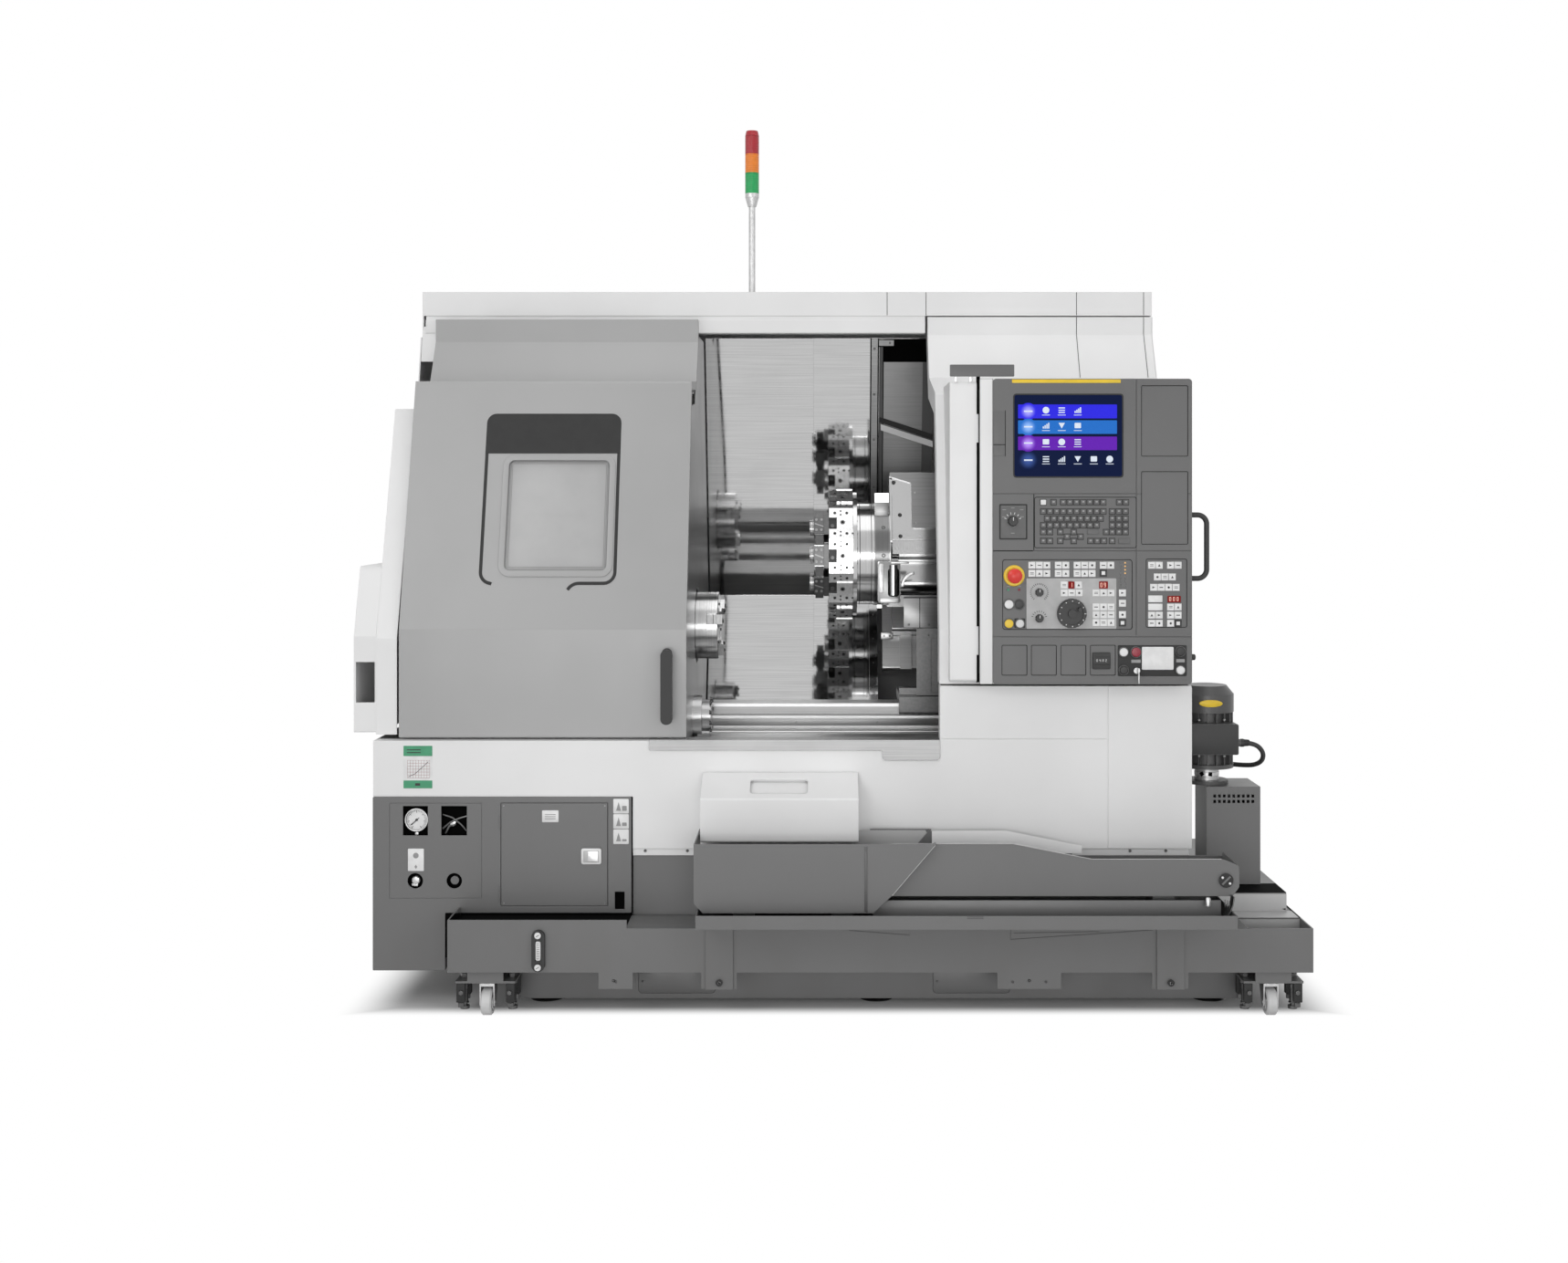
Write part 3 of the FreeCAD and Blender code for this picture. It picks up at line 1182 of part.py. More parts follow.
for name, build in builders.items():
    save(name, build())
for index in range(3):
    save("jaw_%d" % (index + 1), jaw(index))
for name, depth, flutes in (("feed_knob", 16, 8), ("speed_knob", 16, 8), ("mode_selector", 20, 10)):
    save(name, knob(name, depth, flutes))
for side, spot in caster_spots.items():
    save("caster_fork_" + side, caster_fork(spot))
    save("caster_wheel_" + side, caster_wheel(spot))
save("caster_wheel_rear", caster_wheel(rear_caster_spot))
for name, low, high, lid in (("lens_green", 2430, 2497, False), ("lens_amber", 2497, 2558, False),
                             ("lens_red", 2558, 2618, True)):
    save(name, lens(low, high, lid))
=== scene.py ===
import math
import bmesh
import bpy
from mathutils import Matrix, Vector


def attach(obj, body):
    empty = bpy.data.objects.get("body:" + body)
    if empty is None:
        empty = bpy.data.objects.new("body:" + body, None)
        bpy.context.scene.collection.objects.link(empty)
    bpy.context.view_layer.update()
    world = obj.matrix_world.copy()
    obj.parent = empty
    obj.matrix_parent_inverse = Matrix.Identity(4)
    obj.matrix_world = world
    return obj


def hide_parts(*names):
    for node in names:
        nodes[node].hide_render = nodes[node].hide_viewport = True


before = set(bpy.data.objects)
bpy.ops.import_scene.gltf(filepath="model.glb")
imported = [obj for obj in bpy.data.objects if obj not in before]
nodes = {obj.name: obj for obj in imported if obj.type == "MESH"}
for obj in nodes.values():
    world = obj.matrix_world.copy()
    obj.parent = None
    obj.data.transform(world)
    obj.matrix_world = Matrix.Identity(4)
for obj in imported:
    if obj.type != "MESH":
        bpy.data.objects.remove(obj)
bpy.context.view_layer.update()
mm = 0.001
print("frame loaded:", len(nodes), "nodes")


# a socket in a node tree, so that masks and levels can be written as expressions
class Wire:
    def __init__(self, tree, socket=None):
        self.tree = tree
        self.socket = socket

    def node(self, kind, settings=None, inputs=None, output=0):
        made = self.tree.nodes.new(kind)
        for key, value in (settings or {}).items():
            if key == "stops":
                ramp = made.color_ramp
                ramp.elements[0].position, ramp.elements[0].color = value[0]
                ramp.elements[1].position, ramp.elements[1].color = value[-1]
                for position, colour in value[1:-1]:
                    ramp.elements.new(position).color = colour
            else:
                setattr(made, key, value)
        for key, value in (inputs or {}).items():
            if isinstance(value, Wire):
                self.tree.links.new(value.socket, made.inputs[key])
            else:
                made.inputs[key].default_value = value
        return Wire(self.tree, made.outputs[output])

    def math(self, operation, *values):
        return self.node("ShaderNodeMath", {"operation": operation}, dict(enumerate(values)))

    def __add__(self, other):
        return self.math("ADD", self, other)

    def __sub__(self, other):
        return self.math("SUBTRACT", self, other)

    def __mul__(self, other):
        return self.math("MULTIPLY", self, other)

    def __radd__(self, other):
        return self.math("ADD", other, self)

    def __rsub__(self, other):
        return self.math("SUBTRACT", other, self)

    def __rmul__(self, other):
        return self.math("MULTIPLY", other, self)

    def above(self, level):
        return self.math("GREATER_THAN", self, level)

    def plain(self, operation):
        return self.math(operation, self)

    def part(self, axis):
        return self.node("ShaderNodeSeparateXYZ", {}, {0: self}, axis)

    def fade(self, low, high):
        return self.node("ShaderNodeMapRange", {"interpolation_type": "SMOOTHSTEP"},
                         {"Value": self, "From Min": low, "From Max": high})

    def noise(self, scale, detail=2.0, stretch=None):
        place = self
        if stretch:
            place = self.node("ShaderNodeMapping", {}, {"Vector": self, "Scale": stretch})
        return self.node("ShaderNodeTexNoise", {}, {"Vector": place, "Scale": scale, "Detail": detail})

    def blend(self, low, high):
        return self.node("ShaderNodeMix", {"data_type": "RGBA"}, {0: self, 6: low, 7: high}, 2)


def grey(level, tint=(1.0, 1.0, 1.0)):
    linear = (level / 255.0) ** 2.2
    return (linear * tint[0], linear * tint[1], linear * tint[2], 1.0)


def shade(colour, factor):
    return tuple(min(1.0, channel * factor) for channel in colour[:3]) + (1.0,)


# tone of settled dust, and how deep the bumps of each kind of surface reach, in metres
dustTone = grey(96, (1.05, 1.0, 0.93))
relief = {"peel": 0.0006, "drawn": 0.0004, "fine": 0.0003}


def newFinish(name, **constants):
    finish = bpy.data.materials.new(name)
    finish.use_nodes = True
    shader = finish.node_tree.nodes["Principled BSDF"]
    for key, value in constants.items():
        shader.inputs[key.replace("_", " ")].default_value = value
    wire = Wire(finish.node_tree)
    return finish, shader, wire.node("ShaderNodeTexCoord", output=3), wire


def feed(shader, wires):
    for key, value in wires.items():
        shader.id_data.links.new(value.socket, shader.inputs[key])


def edgeMask(wire, radius):
    rounded = wire.node("ShaderNodeBevel", {"samples": 4}, {"Radius": radius})
    flat = wire.node("ShaderNodeNewGeometry", output=1)
    match = wire.node("ShaderNodeVectorMath", {"operation": "DOT_PRODUCT"}, {0: rounded, 1: flat}, 1)
    return rounded, (1.0 - match).fade(0.004, 0.12)


def paintFinish(name, colour, look):
    # sprayed and baked paint: orange peel, soft clouds, a worn edge, dust near the floor
    finish, shader, place, wire = newFinish(name, Coat_Roughness=0.22)
    rounded, edge = edgeMask(wire, look.get("edge", 0.0016))
    height = place.part(2)
    cloud = place.noise(2.2, 3.0)
    smear = place.noise(11.0, 4.0, (1.0, 1.0, 0.35))
    speck = place.noise(160.0, 2.0)
    dust = (1.0 - height.fade(0.0, 0.55)) * smear.fade(0.42, 0.7) * look.get("dust", 0.5)
    tone = cloud.fade(0.3, 0.7).blend(shade(colour, 0.965), shade(colour, 1.03))
    tone = (dust * 0.35).blend(tone, dustTone)
    tone = (edge * look.get("wear", 0.3)).blend(tone, look.get("under", shade(colour, 1.35)))
    peel = place.noise(look.get("peel", 520.0), 1.0)
    bump = wire.node("ShaderNodeBump", {}, {"Strength": look.get("bump", 0.10), "Distance": relief["peel"],
                                            "Height": peel, "Normal": rounded})
    feed(shader, {"Base Color": tone, "Normal": bump,
                  "Roughness": smear * 0.16 + speck * 0.05 + (look.get("rough", 0.42) - 0.10),
                  "Coat Weight": (1.0 - dust) * look.get("coat", 0.12)})
    return finish


def brushedFinish(name, colour, look):
    # sheet steel with fine drawn lines along one axis, handling marks and dried coolant
    finish, shader, place, wire = newFinish(name, Metallic=1.0)
    lines = place.noise(1.0, 3.0, look.get("lines", (4.0, 700.0, 700.0)))
    broad = place.noise(1.0, 2.0, look.get("bands", (0.6, 38.0, 38.0)))
    stain = place.noise(5.5, 5.0)
    marks = place.noise(46.0, 4.0)
    rounded, edge = edgeMask(wire, 0.0014)
    tone = lines.fade(0.25, 0.75).blend(shade(colour, 0.86), shade(colour, 1.08))
    tone = (stain.fade(0.5, 0.75) * look.get("stain", 0.25)).blend(tone, shade(colour, 0.62))
    tone = (edge * 0.4).blend(tone, shade(colour, 1.4))
    bump = wire.node("ShaderNodeBump", {}, {"Strength": look.get("bump", 0.08), "Distance": relief["drawn"],
                                            "Height": lines + broad * 0.6, "Normal": rounded})
    handled = lines * 0.10 + marks * 0.06 + stain * 0.08
    feed(shader, {"Base Color": tone, "Normal": bump,
                  "Roughness": handled + (look.get("rough", 0.28) - 0.12)})
    return finish


def turnedFinish(name, colour, centre, look):
    # turned steel: rings round an axis along X, with chatter and a little oil
    finish, shader, place, wire = newFinish(name, Metallic=1.0)
    y = place.part(1) - centre[0] * mm
    z = place.part(2) - centre[1] * mm
    radius = (y * y + z * z).plain("SQRT")
    ringScale = 900.0
    along = wire.node("ShaderNodeCombineXYZ", {}, {0: radius * ringScale, 1: place.part(0) * ringScale})
    rings = along.noise(1.0, 2.0)
    oil = place.noise(9.0, 4.0)
    rounded, edge = edgeMask(wire, 0.0010)
    tone = rings.fade(0.3, 0.7).blend(shade(colour, 0.82), shade(colour, 1.1))
    tone = (oil.fade(0.52, 0.72) * look.get("oil", 0.3)).blend(tone, shade(colour, 0.55))
    tone = (edge * 0.5).blend(tone, shade(colour, 1.5))
    bump = wire.node("ShaderNodeBump", {}, {"Strength": look.get("bump", 0.12), "Distance": relief["fine"],
                                            "Height": rings, "Normal": rounded})
    feed(shader, {"Base Color": tone, "Normal": bump,
                  "Roughness": rings * 0.12 + oil * 0.08 + (look.get("rough", 0.26) - 0.1)})
    return finish


def mouldedFinish(name, colour, look):
    # moulded plastic or rubber: spark-eroded grain, finger marks, paler edges
    finish, shader, place, wire = newFinish(name)
    for key, value in look.get("constants", {}).items():
        shader.inputs[key].default_value = value
    rounded, edge = edgeMask(wire, look.get("edge", 0.0007))
    grain = place.noise(look.get("grain", 1500.0), 2.0)
    touch = place.noise(30.0, 3.0)
    tone = touch.fade(0.3, 0.7).blend(shade(colour, 0.93), shade(colour, 1.05))
    tone = (edge * look.get("wear", 0.25)).blend(tone, shade(colour, look.get("edgeLift", 1.5)))
    bump = wire.node("ShaderNodeBump", {}, {"Strength": look.get("bump", 0.15), "Distance": relief["fine"],
                                            "Height": grain, "Normal": rounded})
    feed(shader, {"Base Color": tone, "Normal": bump,
                  "Roughness": touch * 0.12 + grain * 0.06 + (look.get("rough", 0.45) - 0.09)})
    return finish


finishes = {
    "white": paintFinish("white_paint", grey(232), {"rough": 0.40, "dust": 0.5}),
    "pale": paintFinish("pale_grey_paint", grey(186), {"rough": 0.38}),
    "door": paintFinish("door_grey_paint", grey(162), {"rough": 0.36, "coat": 0.2}),
    "slate": paintFinish("slate_paint", grey(106), {"rough": 0.42, "wear": 0.35, "peel": 430.0}),
    "slateDark": paintFinish("dark_slate_paint", grey(84), {"rough": 0.46, "dust": 0.8}),
    "panel": paintFinish("pendant_paint", grey(98),
                         {"rough": 0.45, "peel": 900.0, "bump": 0.16, "coat": 0.05}),
    "cast": paintFinish("cast_iron_paint", grey(92),
                        {"rough": 0.5, "peel": 210.0, "bump": 0.35, "dust": 0.9}),
    "charcoal": mouldedFinish("charcoal_print", grey(54), {"rough": 0.55, "wear": 0.05,
                                                           "constants": {"Specular IOR Level": 0.25}}),
    "motorPaint": paintFinish("motor_paint", grey(74), {"rough": 0.4, "peel": 300.0, "bump": 0.2}),
    "mirrorSteel": brushedFinish("mirror_brushed_steel", grey(190),
                                 {"rough": 0.05, "stain": 0.10, "bump": 0.006}),
    "sheetSteel": brushedFinish("brushed_sheet_steel", grey(190), {"rough": 0.32}),
    "sillSteel": brushedFinish("sill_steel", grey(150), {"rough": 0.42, "bump": 0.1}),
    "guardSteel": brushedFinish("dark_guard_steel", grey(142), {"rough": 0.34, "stain": 0.35}),
    "chuckSteel": turnedFinish("turned_chuck_steel", grey(208), (-68, 1042), {"rough": 0.2}),
    "drumSteel": turnedFinish("polished_drum_steel", grey(188), (-10, 1265),
                              {"rough": 0.15, "oil": 0.15, "bump": 0.012}),
    "clampSteel": turnedFinish("dark_clamp_ring_steel", grey(112), (-10, 1265),
                               {"rough": 0.2, "oil": 0.2, "bump": 0.04}),
    "groundSteel": brushedFinish("ground_steel", grey(210), {"rough": 0.24, "stain": 0.2,
                                                             "lines": (300.0, 260.0, 8.0)}),
    "hardSteel": brushedFinish("blackened_steel", grey(96), {"rough": 0.36, "lines": (120.0, 120.0, 120.0)}),
    "zinc": brushedFinish("zinc_plate", grey(196), {"rough": 0.36, "lines": (90.0, 90.0, 90.0),
                                                    "stain": 0.4}),
    "black": mouldedFinish("black_plastic", grey(34), {"rough": 0.42}),
    "softBlack": mouldedFinish("grip_rubber", grey(52), {"rough": 0.62, "bump": 0.3, "grain": 900.0}),
    # near black: painted shade in recesses, slots, holes and gaps, and the dark of seams
    "deep": mouldedFinish("unlit_interior", grey(12), {"rough": 0.8, "wear": 0.05,
                                                       "constants": {"Specular IOR Level": 0.05}}),
    "deckGrey": paintFinish("tank_deck_paint", grey(184), {"rough": 0.4, "dust": 0.3}),
    # paler than the white paint: painted light that makes up for the shade the trough's front wall casts on
    # its rear liner
    "troughWhite": paintFinish("shaded_white_paint", grey(246), {"rough": 0.40, "dust": 0.0}),
    "keyWhite": mouldedFinish("white_key_plastic", grey(232), {"rough": 0.38, "wear": 0.1, "edgeLift": 0.8}),
    "keyGrey": mouldedFinish("grey_key_plastic", grey(96), {"rough": 0.46}),
    "field": mouldedFinish("light_panel_film", grey(172), {"rough": 0.36, "grain": 2200.0}),
    "markWhite": mouldedFinish("white_print", grey(236), {"rough": 0.5, "wear": 0.0}),
    "markDark": mouldedFinish("dark_print", grey(44), {"rough": 0.5, "wear": 0.0}),
    "markGrey": mouldedFinish("grey_print", grey(150), {"rough": 0.5, "wear": 0.0}),
    "labelWhite": mouldedFinish("white_label_film", grey(228), {"rough": 0.34, "grain": 2600.0}),
    "green": mouldedFinish("green_print", (0.045, 0.30, 0.15, 1.0), {"rough": 0.36, "wear": 0.0}),
    "yellow": mouldedFinish("yellow_plastic", (0.82, 0.56, 0.02, 1.0), {"rough": 0.34, "wear": 0.1}),
    "red": mouldedFinish("red_plastic", (0.72, 0.035, 0.025, 1.0), {"rough": 0.3, "wear": 0.1}),
    "redDark": mouldedFinish("dark_red_plastic", (0.26, 0.012, 0.03, 1.0), {"rough": 0.25, "wear": 0.1}),
    "nylon": mouldedFinish("white_nylon", grey(214), {"rough": 0.5, "grain": 400.0}),
    "belt": mouldedFinish("belt_rubber", grey(48), {"rough": 0.7, "bump": 0.5, "grain": 260.0}),
}


def glowFinish(name, colour, strength, base=0.02):
    finish, shader, place, wire = newFinish(name, Roughness=0.3, Specular_IOR_Level=0.02)
    grid = place.noise(900.0, 1.0)
    feed(shader, {"Emission Color": grid.fade(0.1, 0.9).blend(shade(colour, 0.82), shade(colour, 1.1)),
                  "Base Color": grid.blend(shade(colour, base), shade(colour, base * 2))})
    shader.inputs["Emission Strength"].default_value = strength
    return finish


def haloFinish(name, core, rim, centre, radius):
    # a lit spot on the screen that fades from its core to its band
    finish, shader, place, wire = newFinish(name, Roughness=0.3, Specular_IOR_Level=0.02)
    x = place.part(0) - centre[0] * mm
    z = place.part(2) - centre[1] * mm
    reach = (x * x + z * z).plain("SQRT") * (1.0 / (radius * mm))
    feed(shader, {"Emission Color": reach.fade(0.1, 0.95).blend(core, rim)})
    shader.inputs["Base Color"].default_value = shade(rim, 0.05)
    shader.inputs["Emission Strength"].default_value = 1.0
    return finish


tower = (-0.234, 0.1)  # the signal tower's axis


def clearFinish(name, colour, alpha, rough=0.06):
    finish, shader, place, wire = newFinish(name, IOR=1.5)
    haze = place.noise(14.0, 4.0)
    feed(shader, {"Roughness": haze * 0.08 + rough, "Alpha": haze * 0.05 + (alpha - 0.025),
                  "Base Color": haze.blend(shade(colour, 0.95), colour)})
    return finish


def lensFinish(name, colour):
    # a coloured lens ribbed round the tower's axis, with the lamp showing faintly through it
    finish, shader, place, wire = newFinish(name, Roughness=0.18, IOR=1.49)
    angle = wire.math("ARCTAN2", place.part(1) - tower[1], place.part(0) - tower[0])
    ribs = (angle * 48.0).plain("SINE") * 0.5 + 0.5
    tiers = (place.part(2) * 900.0).plain("SINE") * 0.5 + 0.5
    cloud = place.noise(60.0, 2.0)
    tone = (ribs * 0.5 + cloud * 0.4 + tiers * 0.15).blend(shade(colour, 0.55), shade(colour, 1.25))
    bump = wire.node("ShaderNodeBump", {}, {"Strength": 0.5, "Distance": relief["peel"],
                                            "Height": ribs + tiers * 0.3})
    feed(shader, {"Base Color": tone, "Normal": bump,
                  "Emission Color": cloud.blend(shade(colour, 0.3), colour)})
    shader.inputs["Emission Strength"].default_value = 0.12
    return finish


screenColours = {"back": (0.006, 0.012, 0.050, 1.0), "blue": (0.035, 0.030, 0.80, 1.0),
                 "sky": (0.025, 0.17, 0.60, 1.0), "violet": (0.14, 0.022, 0.46, 1.0)}
finishes.update({
    "pane": clearFinish("window_pane", grey(214), 0.42),
    "lensGreen": lensFinish("green_lens", (0.0, 0.36, 0.09, 1.0)),
    "lensAmber": lensFinish("amber_lens", (0.86, 0.22, 0.01, 1.0)),
    "lensRed": lensFinish("red_lens", (0.40, 0.01, 0.02, 1.0)),
    "screenBack": glowFinish("screen_back", screenColours["back"], 1.0),
    "screenBlue": glowFinish("screen_blue", screenColours["blue"], 1.0),
    "screenSky": glowFinish("screen_sky", screenColours["sky"], 1.0),
    "screenViolet": glowFinish("screen_violet", screenColours["violet"], 1.0),
    "screenWhite": glowFinish("screen_white", (0.75, 0.82, 0.95, 1.0), 1.0),
    "haloBlue": haloFinish("halo_blue", (0.42, 0.40, 1.0, 1.0), screenColours["blue"], (575, 1687), 24),
    "haloSky": haloFinish("halo_sky", (0.30, 0.52, 1.0, 1.0), screenColours["sky"], (575, 1643), 24),
    "haloViolet": haloFinish("halo_violet", (0.52, 0.30, 1.0, 1.0), screenColours["violet"], (575, 1597), 24),
    "haloDeep": haloFinish("halo_deep", (0.05, 0.10, 0.34, 1.0), screenColours["back"], (575, 1550), 30),
    "digitRed": glowFinish("lit_digit", (1.0, 0.55, 0.45, 1.0), 1.1),
    "displayRed": glowFinish("red_display", (0.36, 0.02, 0.02, 1.0), 0.6),
    "ledAmber": glowFinish("lit_lamp", (0.95, 0.55, 0.2, 1.0), 1.1),
})
print("finishes:", len(finishes))


def dress(finish, *names):
    for name in names:
        slots = nodes[name].data.materials
        if not len(slots):
            slots.append(None)
        for index in range(len(slots)):
            slots[index] = finishes[finish]


carried = {
    "white": ["left_end_cover", "motor_cover", "front_lower_cover", "roof_cover", "right_front_cover",
              "right_end_cover", "chute_flap", "rear_cabinet"],
    "pale": ["left_front_cover"],
    "door": ["door_shell"],
    "slate": ["service_cabinet", "service_door", "coolant_tank", "filter_box", "conveyor_frame", "drip_tray",
              "base_bed"],
    "cast": ["headstock"],
    "panel": ["pendant_housing"],
    "mirrorSteel": ["way_cover_right", "way_cover_left"],
    "sheetSteel": ["chamber_liner", "saddle", "cross_slide"],
    "sillSteel": ["sill_plate"],
    "chuckSteel": ["spindle_chuck", "live_centre"],
    "groundSteel": ["turret_disc", "jaw_1", "jaw_2", "jaw_3"],
    "drumSteel": ["turret_housing"],
    "hardSteel": ["tool_holders", "tailstock", "jack_screws", "levelling_pads"],
    "zinc": ["caster_fork_left", "caster_fork_right", "stack_light_pole", "key_switch"],
    "nylon": ["caster_wheel_left", "caster_wheel_right", "caster_wheel_rear"],
    "softBlack": ["door_handle", "pendant_handle"],
    "black": ["level_gauge", "feed_knob", "speed_knob", "mode_selector", "handwheel", "pressure_gauge"],
    "motorPaint": ["coolant_pump"],
    "belt": ["conveyor_belt"],
    "red": ["estop_button"],
    "pane": ["door_window"],
    "screenBack": ["display_screen"],
    "lensGreen": ["lens_green"],
    "lensAmber": ["lens_amber"],
    "lensRed": ["lens_red"],
}
for finish, names in carried.items():
    dress(finish, *names)
print("carried nodes dressed:", sum(len(names) for names in carried.values()))


smoothAngle = math.radians(32)
sameLevel = 1e-7
toFront, toRight, toLeft, toTop = (0.0, -1.0, 0.0), (1.0, 0.0, 0.0), (-1.0, 0.0, 0.0), (0.0, 0.0, 1.0)


def joinRings(mesh, rings):
    # matching rings of millimetre points become a wall with a face at each end
    rows = [[mesh.verts.new(Vector(point) * mm) for point in ring] for ring in rings]
    for first, second in zip(rows, rows[1:]):
        for step in range(len(first)):
            after = (step + 1) % len(first)
            mesh.faces.new([first[step], first[after], second[after], second[step]])
    mesh.faces.new(rows[0])
    mesh.faces.new(rows[-1])


def soften(mesh, edges, edge):
    bmesh.ops.bevel(mesh, geom=edges, offset=edge * mm, segments=2, profile=0.5, affect="EDGES")


# collects solids in millimetres and turns them into one finished piece
class Blank:
    def __init__(self):
        self.mesh = bmesh.new()

    def merge(self, part):
        spare = bpy.data.meshes.new("spare")
        part.to_mesh(spare)
        part.free()
        self.mesh.from_mesh(spare)
        bpy.data.meshes.remove(spare)
        return self

    def prism(self, *rings):
        joinRings(self.mesh, rings)
        return self

    def block(self, x, y, z, edge=0.0):
        part = bmesh.new()
        bmesh.ops.create_cube(part, size=1.0)
        size = Vector([span[1] - span[0] for span in (x, y, z)])
        middle = Vector([span[0] + span[1] for span in (x, y, z)]) / 2
        for vert in part.verts:
            vert.co = (vert.co * size + middle) * mm
        if edge > 0:
            soften(part, part.edges[:], min(edge, 0.3 * min(size)))
        return self.merge(part)

    def plate(self, outline, span, edge=0.0, plane="xz"):
        # an outline facing the operator drawn out along y, or one in yz drawn out along x
        part = bmesh.new()
        depth = 1 if plane == "xz" else 0
        joinRings(part, [[(a, level, b) if depth else (level, a, b) for a, b in outline] for level in span])
        bmesh.ops.recalc_face_normals(part, faces=part.faces[:])
        if edge > 0:
            rims = [item for item in part.edges
                    if abs(item.verts[0].co[depth] - item.verts[1].co[depth]) < sameLevel]
            soften(part, rims, edge)
        return self.merge(part)

    def pad(self, x, z, corner, span, edge=0.0):
        return self.plate(rounded(x, z, corner), span, edge)

    def lathe(self, centre, axis, outline, sides=32):
        # outline lists (distance along the axis, radius); a radius of 0 closes it on the axis
        turn = Vector(toTop).rotation_difference(Vector(axis)).to_matrix()
        rings = []
        for along, radius in outline:
            angles = [2 * math.pi * (step + 0.5) / sides for step in range(sides if radius > 0 else 1)]
            rings.append([self.mesh.verts.new((Vector(centre) + turn @ Vector(
                (radius * math.cos(angle), radius * math.sin(angle), along))) * mm) for angle in angles])
        for first, second in zip(rings, rings[1:]):
            for step in range(sides):
                after = (step + 1) % sides
                corners = [first[step % len(first)], first[after % len(first)],
                           second[after % len(second)], second[step % len(second)]]
                kept = [vert for index, vert in enumerate(corners) if vert not in corners[:index]]
                if len(kept) > 2:
                    self.mesh.faces.new(kept)
        return self

    def disc(self, centre, axis, radius, height, edge=0.6, sides=32):
        edge = min(edge, height * 0.45, radius * 0.45)
        return self.lathe(centre, axis, [(0, 0), (0, radius), (height - edge, radius),
                                         (height - edge * 0.3, radius - edge * 0.3), (height, radius - edge),
                                         (height, 0)], sides)

    def tube(self, route, radius, sides=10):
        # a bent rod along points
        spots = [Vector(point) for point in route]
        turns = [2 * math.pi * step / sides for step in range(sides)]
        side = (spots[1] - spots[0]).orthogonal()
        rings = []
        for index, spot in enumerate(spots):
            run = (spots[min(len(spots) - 1, index + 1)] - spots[max(0, index - 1)]).normalized()
            side = (side - run * side.dot(run)).normalized()
            up = run.cross(side)
            rings.append([spot + (side * math.cos(turn) + up * math.sin(turn)) * radius for turn in turns])
        return self.prism(*rings)

    def finish(self, name, body, finish):
        bmesh.ops.recalc_face_normals(self.mesh, faces=self.mesh.faces[:])
        data = bpy.data.meshes.new(name)
        self.mesh.to_mesh(data)
        self.mesh.free()
        return settle(name, data, body, finish)


def settle(name, data, body, finish):
    piece = bpy.data.objects.new(name, data)
    bpy.context.scene.collection.objects.link(piece)
    if not len(data.materials):
        data.materials.append(finishes[finish])
    data.shade_smooth()
    data.set_sharp_from_angle(angle=smoothAngle)
    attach(piece, body)
    return piece


# outlines that come back: a rectangle, a rounded one, an arc, a band along a line
def box(x0, x1, z0, z1):
    return [(x0, z0), (x1, z0), (x1, z1), (x0, z1)]


def arc(x, z, radius, first, last, steps=6):
    angles = [math.radians(first + (last - first) * step / steps) for step in range(steps + 1)]
    return [(x + radius * math.cos(angle), z + radius * math.sin(angle)) for angle in angles]


def rounded(x, z, radius, steps=5, grow=0.0):
    (x0, x1), (z0, z1) = (x[0] - grow, x[1] + grow), (z[0] - grow, z[1] + grow)
    radius = min(radius, (x1 - x0) / 2, (z1 - z0) / 2)
    corners = ((x1 - radius, z1 - radius, 0), (x0 + radius, z1 - radius, 90), (x0 + radius, z0 + radius, 180),
               (x1 - radius, z0 + radius, 270))
    return [point for cx, cz, start in corners for point in arc(cx, cz, radius, start, start + 90, steps)]


def ribbon(points, width):
    left, right = [], []
    for index, (x, z) in enumerate(points):
        before = points[max(0, index - 1)]
        after = points[min(len(points) - 1, index + 1)]
        run = Vector((after[0] - before[0], after[1] - before[1])).normalized() * width / 2
        left.append((x - run.y, z + run.x))
        right.append((x + run.y, z - run.x))
    return left + right[::-1]


# outlines for the lathe: a plain stub, a hoop, and a stud with its edge cut back between low and high
def stub(radius, height):
    return [(0, 0), (0, radius), (height, radius), (height, 0)]


def hoop(inner, outer, height):
    return [(0, inner), (0, outer), (height, outer), (height, inner), (0, inner)]


def stud(radius, low, high, top):
    return [(0, 0), (0, radius), (low, radius), (high, top), (high, 0)]


def around(x, z, width, height, corner):
    return (x - width / 2, x + width / 2), (z - height / 2, z + height / 2), corner


# one piece from several solids of a kind
def blocks(name, body, finish, boxes, edge=0.0):
    blank = Blank()
    for x, y, z in boxes:
        blank.block(x, y, z, edge)
    return blank.finish(name, body, finish)


def pads(name, body, finish, shapes, span, edge=0.0):
    blank = Blank()
    for x, z, corner in shapes:
        blank.pad(x, z, corner, span, edge)
    return blank.finish(name, body, finish)


def lathes(name, body, finish, spots, axis, outline, sides=32):
    blank = Blank()
    for spot in spots:
        blank.lathe(spot, axis, outline, sides)
    return blank.finish(name, body, finish)


def ribbons(name, body, finish, lines, width, span, edge=0.0):
    blank = Blank()
    for line in lines:
        blank.plate(ribbon(line, width), span, edge)
    return blank.finish(name, body, finish)


